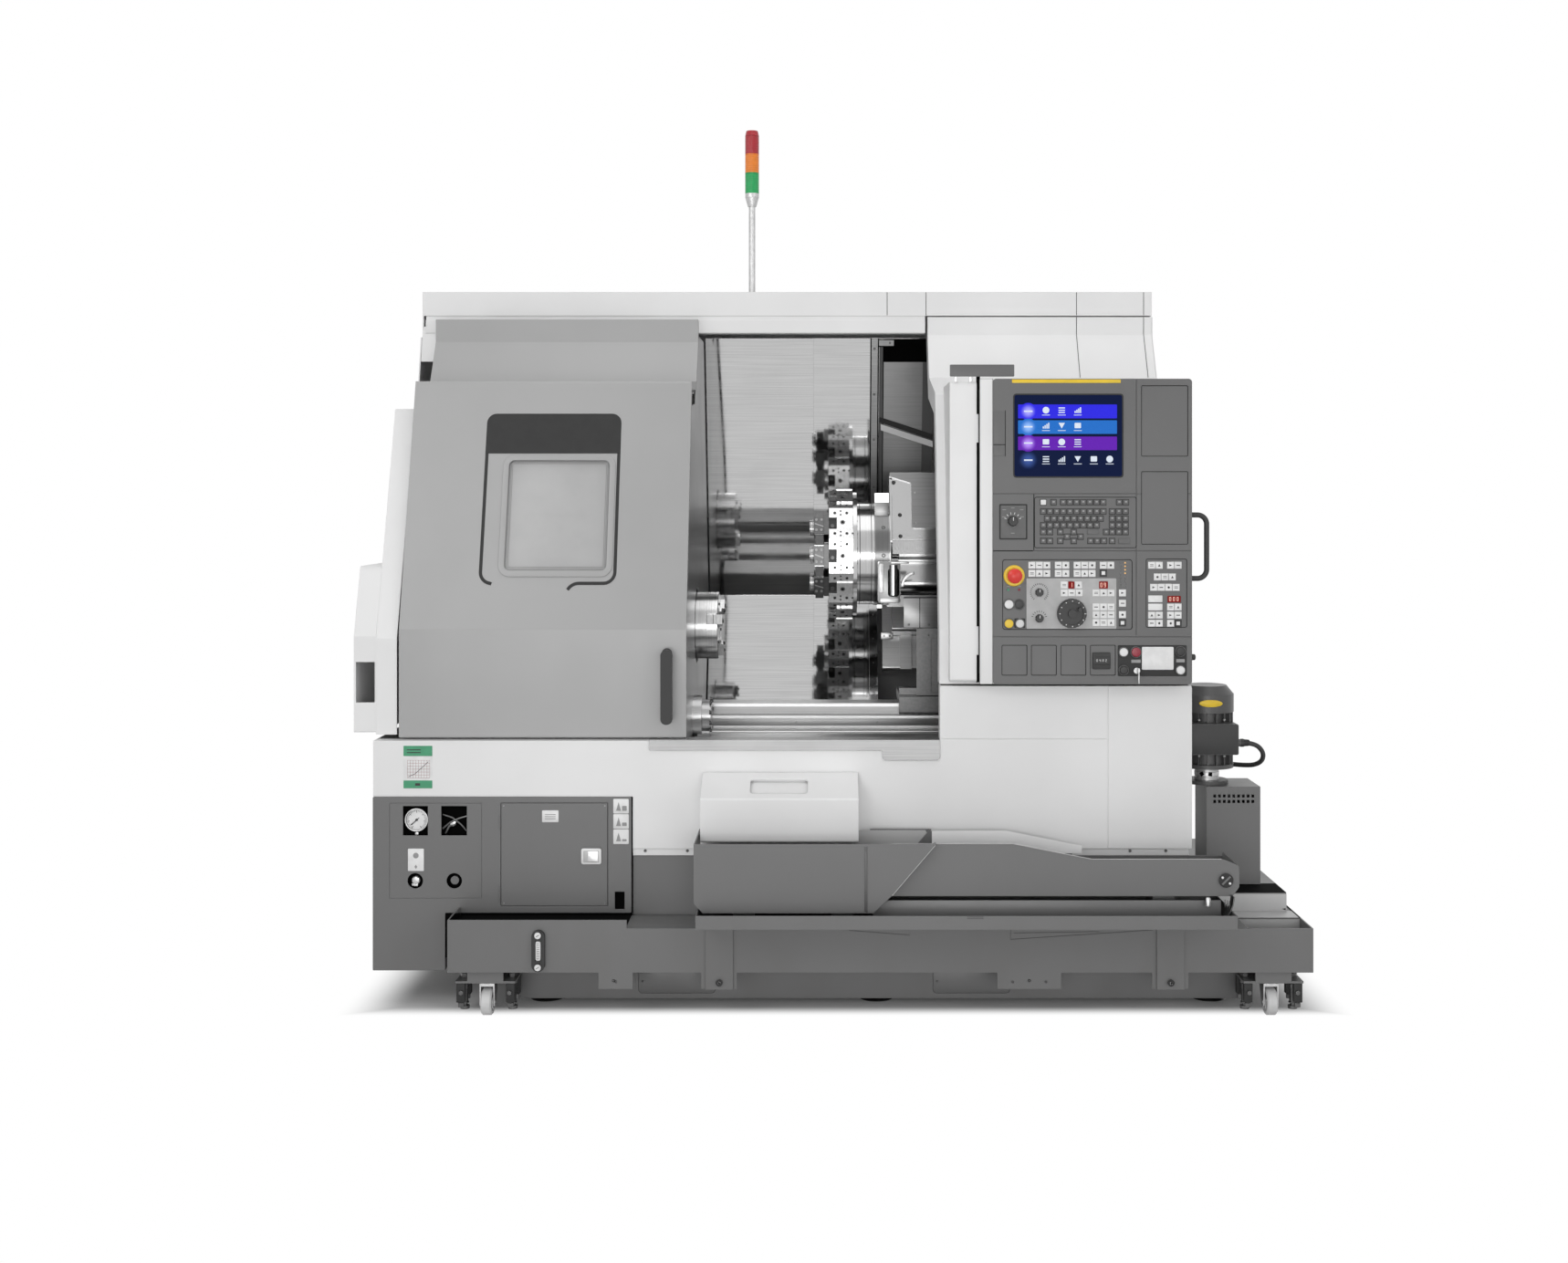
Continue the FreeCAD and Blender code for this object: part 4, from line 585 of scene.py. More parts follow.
def cutPlate(name, outlines, level, thickness, body, finish, lean=None, bevel=0.0):
    # the first outline is the plate, the others are holes through it; it faces the operator
    curve = bpy.data.curves.new(name, "CURVE")
    curve.dimensions = "2D"
    curve.fill_mode = "BOTH"
    curve.extrude = thickness / 2 * mm
    curve.bevel_depth = bevel * mm
    for outline in outlines:
        spline = curve.splines.new("POLY")
        spline.points.add(len(outline) - 1)
        for point, (x, z) in zip(spline.points, outline):
            point.co = (x * mm, z * mm, 0, 1)
        spline.use_cyclic_u = True
    flat = bpy.data.objects.new(name + "_flat", curve)
    bpy.context.scene.collection.objects.link(flat)
    bpy.context.view_layer.update()
    data = bpy.data.meshes.new_from_object(flat.evaluated_get(bpy.context.evaluated_depsgraph_get()))
    bpy.data.objects.remove(flat)
    bpy.data.curves.remove(curve)
    middle = Matrix.Translation((0, (level + thickness / 2) * mm, 0))
    data.transform(middle @ Matrix.Rotation(math.pi / 2, 4, "X"))
    if lean:
        for vert in data.vertices:
            vert.co.y += lean(vert.co.z / mm) * mm
    work = bmesh.new()
    work.from_mesh(data)
    bmesh.ops.remove_doubles(work, verts=work.verts[:], dist=1e-6)
    bmesh.ops.recalc_face_normals(work, faces=work.faces[:])
    work.to_mesh(data)
    work.free()
    return settle(name, data, body, finish)


# node trees for what repeats: a socket screw, a key cap, a printed dot, a tick on a dial
def repeatTree(name, sockets, build):
    tree = bpy.data.node_groups.new(name, "GeometryNodeTree")
    tree.interface.new_socket("Geometry", in_out="INPUT", socket_type="NodeSocketGeometry")
    for label, kind, value in sockets:
        socket = tree.interface.new_socket(label, in_out="INPUT", socket_type=kind)
        if value is not None:
            socket.default_value = value
    tree.interface.new_socket("Geometry", in_out="OUTPUT", socket_type="NodeSocketGeometry")
    entry = tree.nodes.new("NodeGroupInput")
    given = {socket.name: Wire(tree, socket) for socket in entry.outputs if socket.name}
    start = Wire(tree)
    shape, turn = build(start, given)
    placed = start.node("GeometryNodeInstanceOnPoints", {}, {"Points": given["Geometry"], "Instance": shape,
                                                            "Rotation": turn})
    solid = start.node("GeometryNodeRealizeInstances", {}, {"Geometry": placed})
    dressed = start.node("GeometryNodeSetMaterial", {}, {"Geometry": solid, "Material": given["Finish"]})
    leave = tree.nodes.new("NodeGroupOutput")
    tree.links.new(dressed.socket, leave.inputs[0])
    return tree


def aimed(start, given):
    return start.node("FunctionNodeAlignRotationToVector", {"axis": "Z"}, {"Vector": given["Aim"]})


def topFace(start):
    up = start.node("GeometryNodeInputNormal")
    return start.node("ShaderNodeSeparateXYZ", {}, {0: up}, 2).above(0.5)


def drawn(start, mesh, top, distance):
    return start.node("GeometryNodeExtrudeMesh", {"mode": "FACES"},
                      {"Mesh": mesh, "Selection": top, "Offset Scale": distance})


def scaled(start, mesh, top, share):
    return start.node("GeometryNodeScaleElements", {"domain": "FACE"},
                      {"Geometry": mesh, "Selection": top, "Scale": share})


def screwShape(start, given):
    head = start.node("GeometryNodeMeshCylinder", {}, {"Vertices": 12, "Radius": given["Radius"],
                                                       "Depth": given["Height"]})
    top = topFace(start)
    small = scaled(start, drawn(start, head, top, 0.0), top, given["Socket"])
    return drawn(start, small, top, given["Height"] * -0.7), aimed(start, given)


def keyShape(start, given):
    base = start.node("GeometryNodeMeshCube", {}, {"Size": given["Size"]})
    top = topFace(start)
    return scaled(start, drawn(start, base, top, given["Rise"]), top, given["Taper"]), aimed(start, given)


def dotShape(start, given):
    dot = start.node("GeometryNodeMeshCylinder", {}, {"Vertices": 8, "Radius": given["Radius"],
                                                      "Depth": 0.0003})
    return dot, aimed(start, given)


def markShape(start, given):
    base = start.node("GeometryNodeMeshCube", {}, {"Size": given["Size"]})
    spot = start.node("GeometryNodeInputPosition")
    outward = start.node("ShaderNodeVectorMath", {"operation": "SUBTRACT"}, {0: spot, 1: given["Centre"]})
    turned = start.node("FunctionNodeAlignRotationToVector", {"axis": "X", "pivot_axis": "Z"},
                        {"Rotation": aimed(start, given), "Vector": outward})
    return base, turned


aimSocket = ("Aim", "NodeSocketVector", toFront)
finishSocket = ("Finish", "NodeSocketMaterial", None)
trees = {
    "screw": repeatTree("socket_screws", [
        aimSocket, ("Radius", "NodeSocketFloat", 0.005), ("Height", "NodeSocketFloat", 0.004),
        ("Socket", "NodeSocketFloat", 0.55), finishSocket], screwShape),
    "key": repeatTree("key_caps", [
        aimSocket, ("Size", "NodeSocketVector", (0.016, 0.014, 0.003)), ("Rise", "NodeSocketFloat", 0.0012),
        ("Taper", "NodeSocketFloat", 0.82), finishSocket], keyShape),
    "dot": repeatTree("fine_dots", [aimSocket, ("Radius", "NodeSocketFloat", 0.001), finishSocket], dotShape),
    "mark": repeatTree("dial_marks", [
        aimSocket, ("Size", "NodeSocketVector", (0.004, 0.001, 0.0004)),
        ("Centre", "NodeSocketVector", (0.0, 0.0, 0.0)), finishSocket], markShape),
}


def repeat(name, tree, spots, body, finish, **values):
    # spots are millimetre points; the tree puts one shape on each
    seeds = bpy.data.meshes.new(name + "_seeds")
    seeds.from_pydata([Vector(spot) * mm for spot in spots], [], [])
    carrier = bpy.data.objects.new(name + "_seeds", seeds)
    bpy.context.scene.collection.objects.link(carrier)
    modifier = carrier.modifiers.new("repeat", "NODES")
    modifier.node_group = trees[tree]
    values["Finish"] = finishes[finish]
    for item in trees[tree].interface.items_tree:
        if item.in_out == "INPUT" and item.name in values:
            value = values[item.name]
            single = isinstance(value, (float, bpy.types.Material))
            modifier[item.identifier] = value if single else list(value)
    bpy.context.view_layer.update()
    data = bpy.data.meshes.new_from_object(carrier.evaluated_get(bpy.context.evaluated_depsgraph_get()))
    data.name = name
    carrier.modifiers.remove(modifier)
    bpy.data.objects.remove(carrier)
    bpy.data.meshes.remove(seeds)
    return settle(name, data, body, finish)


def screws(name, body, spots, radius, height, aim=toFront, finish="hardSteel"):
    return repeat(name, "screw", spots, body, finish, Aim=aim, Radius=radius * mm, Height=height * mm)


def dial(name, body, finish, centre, ring, size):
    # ring holds its radius, count, start and sweep
    repeat(name, "mark", ringSpots(centre, *ring), body, finish, Size=[side * mm for side in size],
           Centre=[value * mm for value in centre])


def grid(x, z, y, columns=1, rows=1, pitch=(20.0, 20.0)):
    return [(x + pitch[0] * column, y, z - pitch[1] * row) for row in range(rows)
            for column in range(columns)]


def ringSpots(centre, radius, count, start=0.0, sweep=360.0, plane="xz"):
    spots = []
    for step in range(count):
        angle = math.radians(start + sweep * step / (count if sweep >= 360 else count - 1))
        a, b = radius * math.cos(angle), radius * math.sin(angle)
        shift = (a, 0, b) if plane == "xz" else (0, a, b)
        spots.append(tuple(Vector(centre) + Vector(shift)))
    return spots


# coolant pump lead, on the same route as its solid
leadSize = {"diameter": 0.014, "length": 0.453}
leadRoute = [
    (1224, -450, 724), (1262, -450, 724), (1292, -440, 698), (1298, -412, 667), (1284, -372, 647),
    (1258, -328, 640), (1222, -286, 638), (1178, -256, 639), (1128, -246, 641), (1084, -248, 640),
    (1048, -248, 640),
]


def pumpLead():
    curve = bpy.data.curves.new("pump_lead", "CURVE")
    curve.dimensions = "3D"
    curve.bevel_depth = leadSize["diameter"] / 2
    curve.bevel_resolution = 5
    curve.resolution_u = 10
    curve.use_fill_caps = True
    spline = curve.splines.new("NURBS")
    spline.points.add(len(leadRoute) - 1)
    for point, spot in zip(spline.points, leadRoute):
        point.co = (*(value * mm for value in spot), 1.0)
    spline.order_u = 3
    spline.use_endpoint_u = True
    lead = bpy.data.objects.new("pump_lead", curve)
    bpy.context.scene.collection.objects.link(lead)
    curve.materials.append(finishes["softBlack"])
    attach(lead, "machine")
    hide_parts("pump_cable")
    grip = Blank().lathe((1223, -450, 724), toRight, [(0, 0), (0, 12), (8, 12), (9, 10), (24, 8.4), (26, 7.6),
                                                      (26, 0)], 24)
    for step in range(4):
        ridge = 10.8 - 0.4 * step
        grip.lathe((1233 + 4 * step, -450, 724), toRight,
                   [(0, 0), (0, ridge), (1.8, ridge - 0.1), (1.8, 0)], 24)
    strain = grip.finish("lead_strain_relief", "machine", "black")
    collar = lathes("lead_gland", "machine", "zinc", [leadRoute[-1]], toRight,
                    [(0, 0), (0, 15), (6, 15), (6, 13), (12, 12), (14, 8.5), (14, 0)], 6)


pumpLead()
print("pump lead done")


# the pendant's face; rows of keys hold (first x, count), white keys (x, z, columns, rows)
pendant = {
    "front": -665.0,
    "screen": -661.0,
    "keyPitch": 18.8,
    "keyRows": {
        1431: [(617, 1), (646, 1), (673, 7), (831, 2)],
        1405: [(617, 10), (811, 3)],
        1385: [(628, 9), (811, 3)],
        1366: [(617, 9), (811, 3)],
        1347: [(617, 2), (665, 1), (703, 1), (794, 1), (811, 3)],
        1322: [(617, 2), (665, 1), (703, 1), (750, 3), (811, 1)],
        1334: [(684, 1), (722, 1)],
    },
    "whiteKeys": [
        (585, 1253.5, 3, 2), (659.5, 1253.5, 2, 2), (712.5, 1253.5, 3, 2), (786, 1253.5, 2, 1),
        (676, 1198, 1, 1), (716.5, 1198, 1, 1), (676, 1175.5, 3, 1), (765.6, 1175.5, 3, 1),
        (765.6, 1136, 3, 3), (840, 1175.7, 1, 1), (840, 1146.6, 1, 1), (840, 1114.5, 1, 1),
        (922.4, 1253.5, 2, 1), (975.6, 1253.5, 2, 1), (938.3, 1220.5, 3, 1), (928, 1191.3, 4, 1),
        (922.4, 1113.2, 2, 2), (975.6, 1135.8, 2, 2), (975.6, 1090.2, 1, 1),
    ],
    "blackKeys": [(786, 1231.7), (840, 1091.6), (996.6, 1090.2)],
    # x span, z span, depth and corner of each recess
    "recesses": [
        ((893, 1025), (1560, 1760), 2, 4), ((893, 1025), (1312, 1518), 2, 4),
        ((502, 868), (1072, 1270), 2, 8), ((906, 1022), (1078, 1272), 2, 6), ((592, 880), (1302, 1446), 2, 6),
        ((500, 572), (943, 1029), 3, 4), ((583, 655), (943, 1029), 3, 4), ((666, 738), (943, 1029), 3, 4),
        ((749, 821), (943, 1029), 3, 4),
    ],
    "modeCaptions": [(507, 1410), (531, 1415), (556, 1410), (531, 1344), (506, 1390), (557, 1390)],
    "captions": [
        (600, 1263.8, 34), (672, 1263.8, 24), (738, 1263.8, 38), (800, 1263.8, 26), (935, 1263.8, 26),
        (990, 1263.8, 24), (960, 1230.5, 24), (960, 1201.5, 36), (690, 1209.5, 20), (934, 1167.5, 22),
        (790, 1209.5, 22), (520, 1194, 10), (549, 1194, 10), (520, 1104, 7), (551, 1104, 7),
    ],
    # name, finish, front and back from the face, edge, shapes
    "pads": [
        ("mode_field", "keyGrey", -1.0, 0.5, 0.4, [((500, 565), (1334, 1418), 2)]),
        ("lamp_button_plate", "charcoal", 1.0, 2.0, 0.3, [((536, 566), (1077, 1104), 2)]),
        ("card_slot_covers", "panel", -1.2, 0.5, 0.6, [((477, 509), (1594, 1688), 2),
                                                       ((477, 509), (1562, 1592.5), 2)]),
        ("pendant_top_strip", "yellow", -1.2, 1.0, 0.5, [((529, 835), (1767, 1777), 1)]),
        ("hinge_strip_cover", "white", 1.5, 6.2, 1.2, [((439, 474.6), (919, 1778), 2)]),
        ("switch_plate", "charcoal", -1.6, 0.5, 0.8, [((826.5, 1020.8), (941.3, 1028.7), 4)]),
        ("bare_plate", "labelWhite", -2.2, -1.4, 0.2, [((894.4, 983.5), (959.5, 1023.9), 3)]),
        ("switch_labels", "markGrey", -2.0, -1.4, 0.0, [around(877.7, 983.5, 26, 9, 1),
                                                        around(1003, 985, 24, 9, 1)]),
        ("keyboard_wide_keys", "keyGrey", -2.3, 2.0, 1.0, [around(757.5, 1347.5, 33, 15, 1.6),
                                                           around(845, 1322, 33, 15, 1.6)]),
        ("keyboard_lit_key", "markWhite", -2.9, -2.0, 0.4, [((609.5, 624.5), (1424, 1438), 1.5)]),
        ("wing_wide_keys", "keyWhite", -1.2, 2.0, 0.8, [around(932.5, 1159, 40, 19.2, 1.8),
                                                        around(932.5, 1135.8, 40, 19.2, 1.8)]),
        ("red_displays", "displayRed", -0.4, 2.0, 0.5, [around(696, 1198, 17, 20, 1.5),
                                                        around(786.7, 1198, 25, 20, 1.5),
                                                        around(985.6, 1158.2, 37, 18, 1.5)]),
        ("on_sign", "markDark", -8.7, -8.1, 0.0, [((841.8, 843.6), (1003.5, 1014.5), 0.8)]),
        ("hanging_key", "zinc", -14.0, -12.6, 0.4, [((882.6, 885.6), (921, 950), 1.4)]),
    ],
}


def pendantKeys():
    y = pendant["front"] + 2
    spots = [(x + pendant["keyPitch"] * step, y - 1.4, z) for z, groups in pendant["keyRows"].items()
             for x, count in groups for step in range(count)]
    repeat("keyboard_bases", "key", [(x, y - 0.7, z) for x, _, z in spots], "pendant", "black",
           Size=(0.0180, 0.0176, 0.0016), Rise=0.0005)
    repeat("keyboard_keys", "key", spots, "pendant", "keyGrey", Size=(0.0146, 0.0138, 0.0030), Rise=0.0014)
    repeat("keyboard_marks", "key", [(x, y - 4.4, z + 1.5) for x, _, z in spots], "pendant", "markGrey",
           Size=(0.0062, 0.0048, 0.0003), Rise=0.0001)
    whites = []
    for x, z, columns, rows in pendant["whiteKeys"]:
        whites += grid(x, z, y - 1.1, columns, rows, (21.0, 22.8 if rows < 3 else 21.9))
    blacks = [(x, y - 1.1, z) for x, z in pendant["blackKeys"]]
    for name, keys, finish in (("white_keys", whites, "keyWhite"), ("black_keys", blacks, "black")):
        repeat(name, "key", keys, "pendant", finish, Size=(0.0198, 0.0196, 0.0022), Rise=0.0010, Taper=0.9)
    repeat("black_key_signs", "key", [(x, y - 3.5, z) for x, _, z in blacks], "pendant", "markWhite",
           Size=(0.010, 0.010, 0.0003), Rise=0.0002, Taper=0.5)
    signs = Blank()
    face = (y - 3.5, y - 3.1)
    for index, (x, _, z) in enumerate(whites):
        kind = index % 5
        if kind == 0:
            signs.plate([(x - 4, z - 3), (x + 4, z), (x - 4, z + 3)], face)
        elif kind == 1:
            signs.plate(box(x - 5, x + 5, z - 1.2, z + 1.2), face)
        elif kind == 2:
            signs.lathe((x, y - 3.1, z), toFront, stub(3.2, 0.4), 12)
        elif kind == 3:
            for low in (z - 2.6, z + 1.2):
                signs.plate(box(x - 5, x + 5, low, low + 1.4), face)
        else:
            signs.plate([(x - 3.5, z - 3.5), (x + 3.5, z - 3.5), (x, z + 3.5)], face)
    signs.finish("white_key_signs", "pendant", "markDark")


def pendantFields():
    front = pendant["front"]
    # a near-black rim round each recess: painted shade on its walls
    for index, (x, z, depth, corner) in enumerate(pendant["recesses"]):
        cutPlate("recess_edge_%d" % index,
                 [rounded(x, z, corner, grow=0.4), rounded(x, z, corner - 1.5, grow=-1.5)],
                 front + depth - 0.5, 0.6, "pendant", "deep")
    screen, mode = ((532, 843), (1500, 1737)), ((493, 572), (1326, 1426))
    cutPlate("screen_edge", [rounded(*screen, 9), rounded(*screen, 6, grow=-4)], front - 0.5, 0.6, "pendant",
             "charcoal")
    cutPlate("mode_frame", [rounded(*mode, 3), rounded(*mode, 2, grow=-4)], front - 0.9, 1.2, "pendant",
             "charcoal")
    light = [rounded((570, 823), (1074.7, 1216.8), 3), rounded((655, 739), (1076, 1160), 42, 10)]
    cutPlate("operator_light_field", light, front + 1.2, 0.8, "pendant", "field")
    for name, finish, near, far, edge, shapes in pendant["pads"]:
        pads(name, "pendant", finish, shapes, (front + near, front + far), edge)
    captions = [(x, z, 10, -1.3, -0.9) for x, z in pendant["modeCaptions"]]
    captions += [(x, z, width, 1.1, 1.6) for x, z, width in pendant["captions"]]
    blocks("panel_captions", "pendant", "markGrey",
           [((x - width / 2, x + width / 2), (front + near, front + far), (z - 0.9, z + 0.9))
            for x, z, width, near, far in captions])
    blocks("pendant_seams", "pendant", "deep", [(x, (front - 0.25, front + 0.5), z) for x, z in (
        ((475.5, 588), (1293, 1295)), ((589.5, 591.5), (1296, 1454)), ((509.6, 511), (1560, 1690)),
        ((476, 510), (1592.4, 1593.8)))])
    counter = Blank().pad((755.8, 806), (961, 1008), 3, (front - 2.5, front + 3), 1.2)
    counter.pad((757, 805), (973, 996), 2, (front - 5.0, front - 2), 1.2)
    counter.finish("hour_counter", "pendant", "black")


segments = {"0": "abcdef", "1": "bc", "2": "abged", "4": "fgbc", "8": "abcdefg", "9": "abcdfg"}


def sevenSegments(name, digits, corner, height, y, finish, pitch):
    width = height * 0.5
    bar = height * 0.13
    blank = Blank()
    for index, digit in enumerate(digits):
        x, z = corner[0] + pitch * index, corner[1]
        low, mid, right = z - height, z - height / 2, x + width
        bars = {
            "a": (x, right, z - bar, z), "g": (x, right, mid - bar / 2, mid + bar / 2),
            "d": (x, right, low, low + bar), "b": (right - bar, right, mid, z),
            "c": (right - bar, right, low, mid), "e": (x, x + bar, low, mid), "f": (x, x + bar, mid, z),
        }
        for letter in segments[digit]:
            blank.plate(box(*bars[letter]), (y, y + 0.4))
    blank.finish(name, "pendant", finish)


def pendantLamps():
    front = pendant["front"]
    sevenSegments("counter_digits", "0482", (766, 989.5), 7.5, front - 5.2, "markWhite", 8.4)
    sevenSegments("display_digit_tool", "1", (692.5, 1204), 12, front - 0.7, "digitRed", 8)
    sevenSegments("display_digits_load", "09", (777.5, 1204), 12, front - 0.7, "digitRed", 10)
    sevenSegments("display_digits_speed", "000", (971.5, 1164), 11, front - 0.7, "digitRed", 10.5)
    lamps = grid(835, 1260.5, front + 1, 2, 8, (12.8, 9.8))
    lit = lamps[1:8:2]
    dim = [spot for spot in lamps if spot not in lit]
    for name, spots, finish, radius in (("lamp_dots", dim, "markGrey", 0.0022),
                                        ("lamp_dots_lit", lit, "ledAmber", 0.0024)):
        repeat(name, "screw", spots, "pendant", finish, Radius=radius, Height=0.003, Socket=0.6)
    for name, x, finish in (("fault_lamp", 549, "redDark"), ("ready_lamp", 518.6, "green")):
        Blank().disc((x, front + 2, 1184.7), toFront, 3.4, 3.2, 1).finish(name, "pendant", finish)


# name, x, z, radius and finish of each button; those above buttonStep stand in the deeper recess
buttonStep = 1050
pushButtons = [
    ("cycle_button", 520.4, 1143.5, 13.0, "markWhite"), ("hold_button", 549.5, 1143.5, 13.0, "black"),
    ("alarm_button", 520.4, 1089.3, 13.0, "yellow"), ("light_button", 551.3, 1089.3, 12.0, "nylon"),
    ("power_on_button", 842.7, 1009.1, 12.4, "markWhite"), ("power_off_button", 843.2, 958.5, 12.4, "black"),
    ("reset_button", 877.7, 1009.1, 14.0, "redDark"), ("coolant_knob", 1002.8, 1011.2, 13.0, "black"),
    ("lamp_button", 1002.8, 958.5, 12.4, "markWhite"),
]
# name, body, finish, centre from the face, then radius, count, start and sweep, then the mark's size
scales = [
    ("feed_scale", "pendant", "markDark", (606, 1.1, 1177), (24, 23, -50, 280), (5.0, 1.6, 0.5)),
    ("speed_scale", "pendant", "markDark", (606, 1.1, 1104), (20, 9, 15, 150), (5.0, 1.6, 0.5)),
    ("mode_scale", "pendant", "markWhite", (531, -1.1, 1378), (22, 6, 20, 140), (6.0, 1.6, 0.5)),
    ("wheel_scale", "handwheel", "markWhite", (697, -18.2, 1118), (35.5, 12), (3.2, 2.2, 0.5)),
]


def pendantButtons():
    front = pendant["front"]
    bezels = Blank()
    for name, x, z, radius, finish in pushButtons:
        base = front + 2 if z > buttonStep else front - 1.4
        bezels.lathe((x, base, z), toFront, [(0, 0), (0, radius + 2.6), (3.2, radius + 2.2),
                                             (4.0, radius + 1.2), (4.0, radius + 0.2), (1.0, radius),
                                             (1.0, 0)])
        lathes(name, "pendant", finish, [(x, base - 0.8, z)], toFront,
               [(0, 0), (0, radius - 0.6), (5.2, radius - 0.9), (6.4, radius - 2.2), (6.8, radius * 0.5),
                (6.9, 0)])
    bezels.finish("button_bezels", "pendant", "hardSteel")
    sign = ((838.6, 847.8), (952.5, 964.5))
    cutPlate("off_sign", [rounded(*sign, 4.6, 6), rounded(*sign, 2.8, 6, grow=-1.8)], front - 8.9, 0.6,
             "pendant", "markWhite")
    lathes("estop_collar", "pendant", "yellow", [(535, front + 2, 1224)], toFront,
           [(0, 0), (0, 30), (4.0, 29.5), (5.6, 27.5), (6.0, 20), (5.0, 14), (5.0, 0)], 48)
    lathes("side_knob", "pendant", "black", [(1036, -632, 992)], toRight,
           [(0, 0), (0, 11), (5, 11), (6, 9), (14, 8.4), (16, 6), (16, 0)], 24)
    for name, body, finish, (x, y, z), ring, size in scales:
        dial(name, body, finish, (x, front + y, z), ring, size)
    for name, body, x, z, y, length in (("feed_pointer", "feed_knob", 606, 1177, -16, 9),
                                        ("speed_pointer", "speed_knob", 606, 1104, -16, 9),
                                        ("mode_pointer", "mode_selector", 531, 1378, -20, 11)):
        pads(name, body, "markWhite", [((x - 0.9, x + 0.9), (z + 1, z + length), 0.8)],
             (front + y - 0.4, front + y + 0.3))


def pendantScreen():
    y = pendant["screen"]
    for finish, low, high in (("screenBlue", 1667.4, 1706.5), ("screenSky", 1623.8, 1661.9),
                              ("screenViolet", 1577.9, 1616.0)):
        pads("band_" + finish, "pendant", finish, [((546.4, 825.2), (low, high), 2)], (y - 0.4, y + 0.1), 0.1)
    for finish, z, radius in (("haloDeep", 1550, 30), ("haloBlue", 1687, 24), ("haloSky", 1643, 24),
                              ("haloViolet", 1597, 24)):
        lathes("screen_" + finish, "pendant", finish, [(575, y - 0.42, z)], toFront,
               [(0, 0), (0, radius), (0.2, radius - 0.5), (0.2, 0)], 40)
    icons = Blank()
    columns = [575.2, 625.0, 669.4, 714.6, 759.9, 804.6]
    face = (y - 0.9, y - 0.55)
    for row, (z, count) in enumerate([(1690.4, 4), (1646.8, 4), (1600.9, 4), (1552.7, 6)]):
        for column, x in list(enumerate(columns))[1:count]:
            kind = (row * 2 + column) % 5
            if kind == 0:
                icons.pad((x - 9, x + 9), (z - 7, z + 8), 2, face)
            elif kind == 1:
                icons.lathe((x, y - 0.55, z), toFront, stub(9.5, 0.35), 20)
            elif kind == 2:
                for low in (z - 8, z - 1.5, z + 5):
                    icons.plate(box(x - 9, x + 9, low, low + 3), face)
            elif kind == 3:
                for step in range(4):
                    left = x - 9 + 5 * step
                    icons.plate(box(left, left + 3.4, z - 8, z - 2 + 3.4 * step), face)
            else:
                icons.plate([(x - 9, z + 8), (x, z - 8), (x + 9, z + 8)], face)
            icons.plate(box(x - 11, x + 11, z - 14.5, z - 12.8), face)
        icons.plate(box(columns[0] - 12, columns[0] + 12, z - 5, z - 1), face)
    icons.finish("screen_icons", "pendant", "screenWhite")


pendantFields()
pendantKeys()
pendantLamps()
pendantButtons()
pendantScreen()
print("pendant done")


# the sliding door, its window and its printed frame; foot and head are (y, z) of its slanted part
door = {"foot": (-580.0, 1066.0), "head": (-370.0, 1791.0), "pane": ((-932, -624), (1227, 1560)),
        "corner": 22, "stripe": 9.5, "header": 1574, "sides": (-998, -600), "dotPitch": 4.6}


def doorLean(z):
    run = (door["head"][0] - door["foot"][0]) / (door["head"][1] - door["foot"][1])
    return (z - door["foot"][1]) * run


def doorPieces():
    front = door["foot"][0] - 0.6
    left, right = door["sides"]
    header = [(right, door["header"])] + arc(right - 28, 1665, 28, 0, 90) + arc(left + 28, 1665, 28, 90, 180)
    header += [(left, door["header"])]
    half = door["stripe"] / 2
    leftLine = [(left + half, 1575)] + arc(left + 32 + half, 1224 + half, 32, 180, 262) + [(-960, 1195)]
    rightLine = [(right - half, 1575)] + arc(right - 32 - half, 1224 + half, 32, 0, -90)
    rightLine += [(-700, 1196.7)] + arc(-708, 1160, 36.7, 90, 150)
    for name, outline in (("door_print_header", header),
                          ("door_print_left", ribbon(leftLine, door["stripe"])),
                          ("door_print_right", ribbon(rightLine, door["stripe"]))):
        cutPlate(name, [outline], front, 0.6, "door", "charcoal", doorLean)
    pane, corner, pitch = door["pane"], door["corner"], door["dotPitch"]
    cutPlate("window_gasket", [rounded(*pane, corner + 10, 8, 10), rounded(*pane, corner - 4, 8, -5)],
             front - 1.6, 3.4, "door", "door", doorLean, 1.2)
    dots = []
    for row, inset in enumerate((8.0, 12.0, 16.0)):
        xs, zs = [[low + inset + pitch * (index + 0.5 * (row % 2))
                   for index in range(int((high - low - 2 * inset) / pitch))] for low, high in pane]
        dots += [(x, z) for x in xs for z in (pane[1][0] + inset, pane[1][1] - inset)]
        dots += [(x, z) for z in zs for x in (pane[0][0] + inset, pane[0][1] - inset)]
    slant = Vector((0, -(door["head"][1] - door["foot"][1]), door["head"][0] - door["foot"][0])).normalized()
    repeat("window_border_dots", "dot", [(x, -576.2 + doorLean(z), z) for x, z in dots], "door", "markDark",
           Aim=tuple(slant), Radius=0.0011)
    for number, outline in ((957, box(-957, -664.5, 1393.4, 1394.6)), (665, box(-665.2, -664.0, 1394, 1543))):
        cutPlate("cover_seam_%d" % number, [outline], -547.0, 0.6, "machine", "markDark", doorLean)
    catch = Blank().block((-925, -893), (-556, -546), (1522, 1540), 1.5)
    for vert in catch.mesh.verts:
        vert.co.y += doorLean(vert.co.z / mm) * mm
    catch.finish("cover_catch", "machine", "black")
    lathes("handle_feet", "door", "softBlack", [(-448, -604.9, z) for z in (812, 1000)], toFront,
           stud(15, 3.5, 5.0, 12.5), 28)


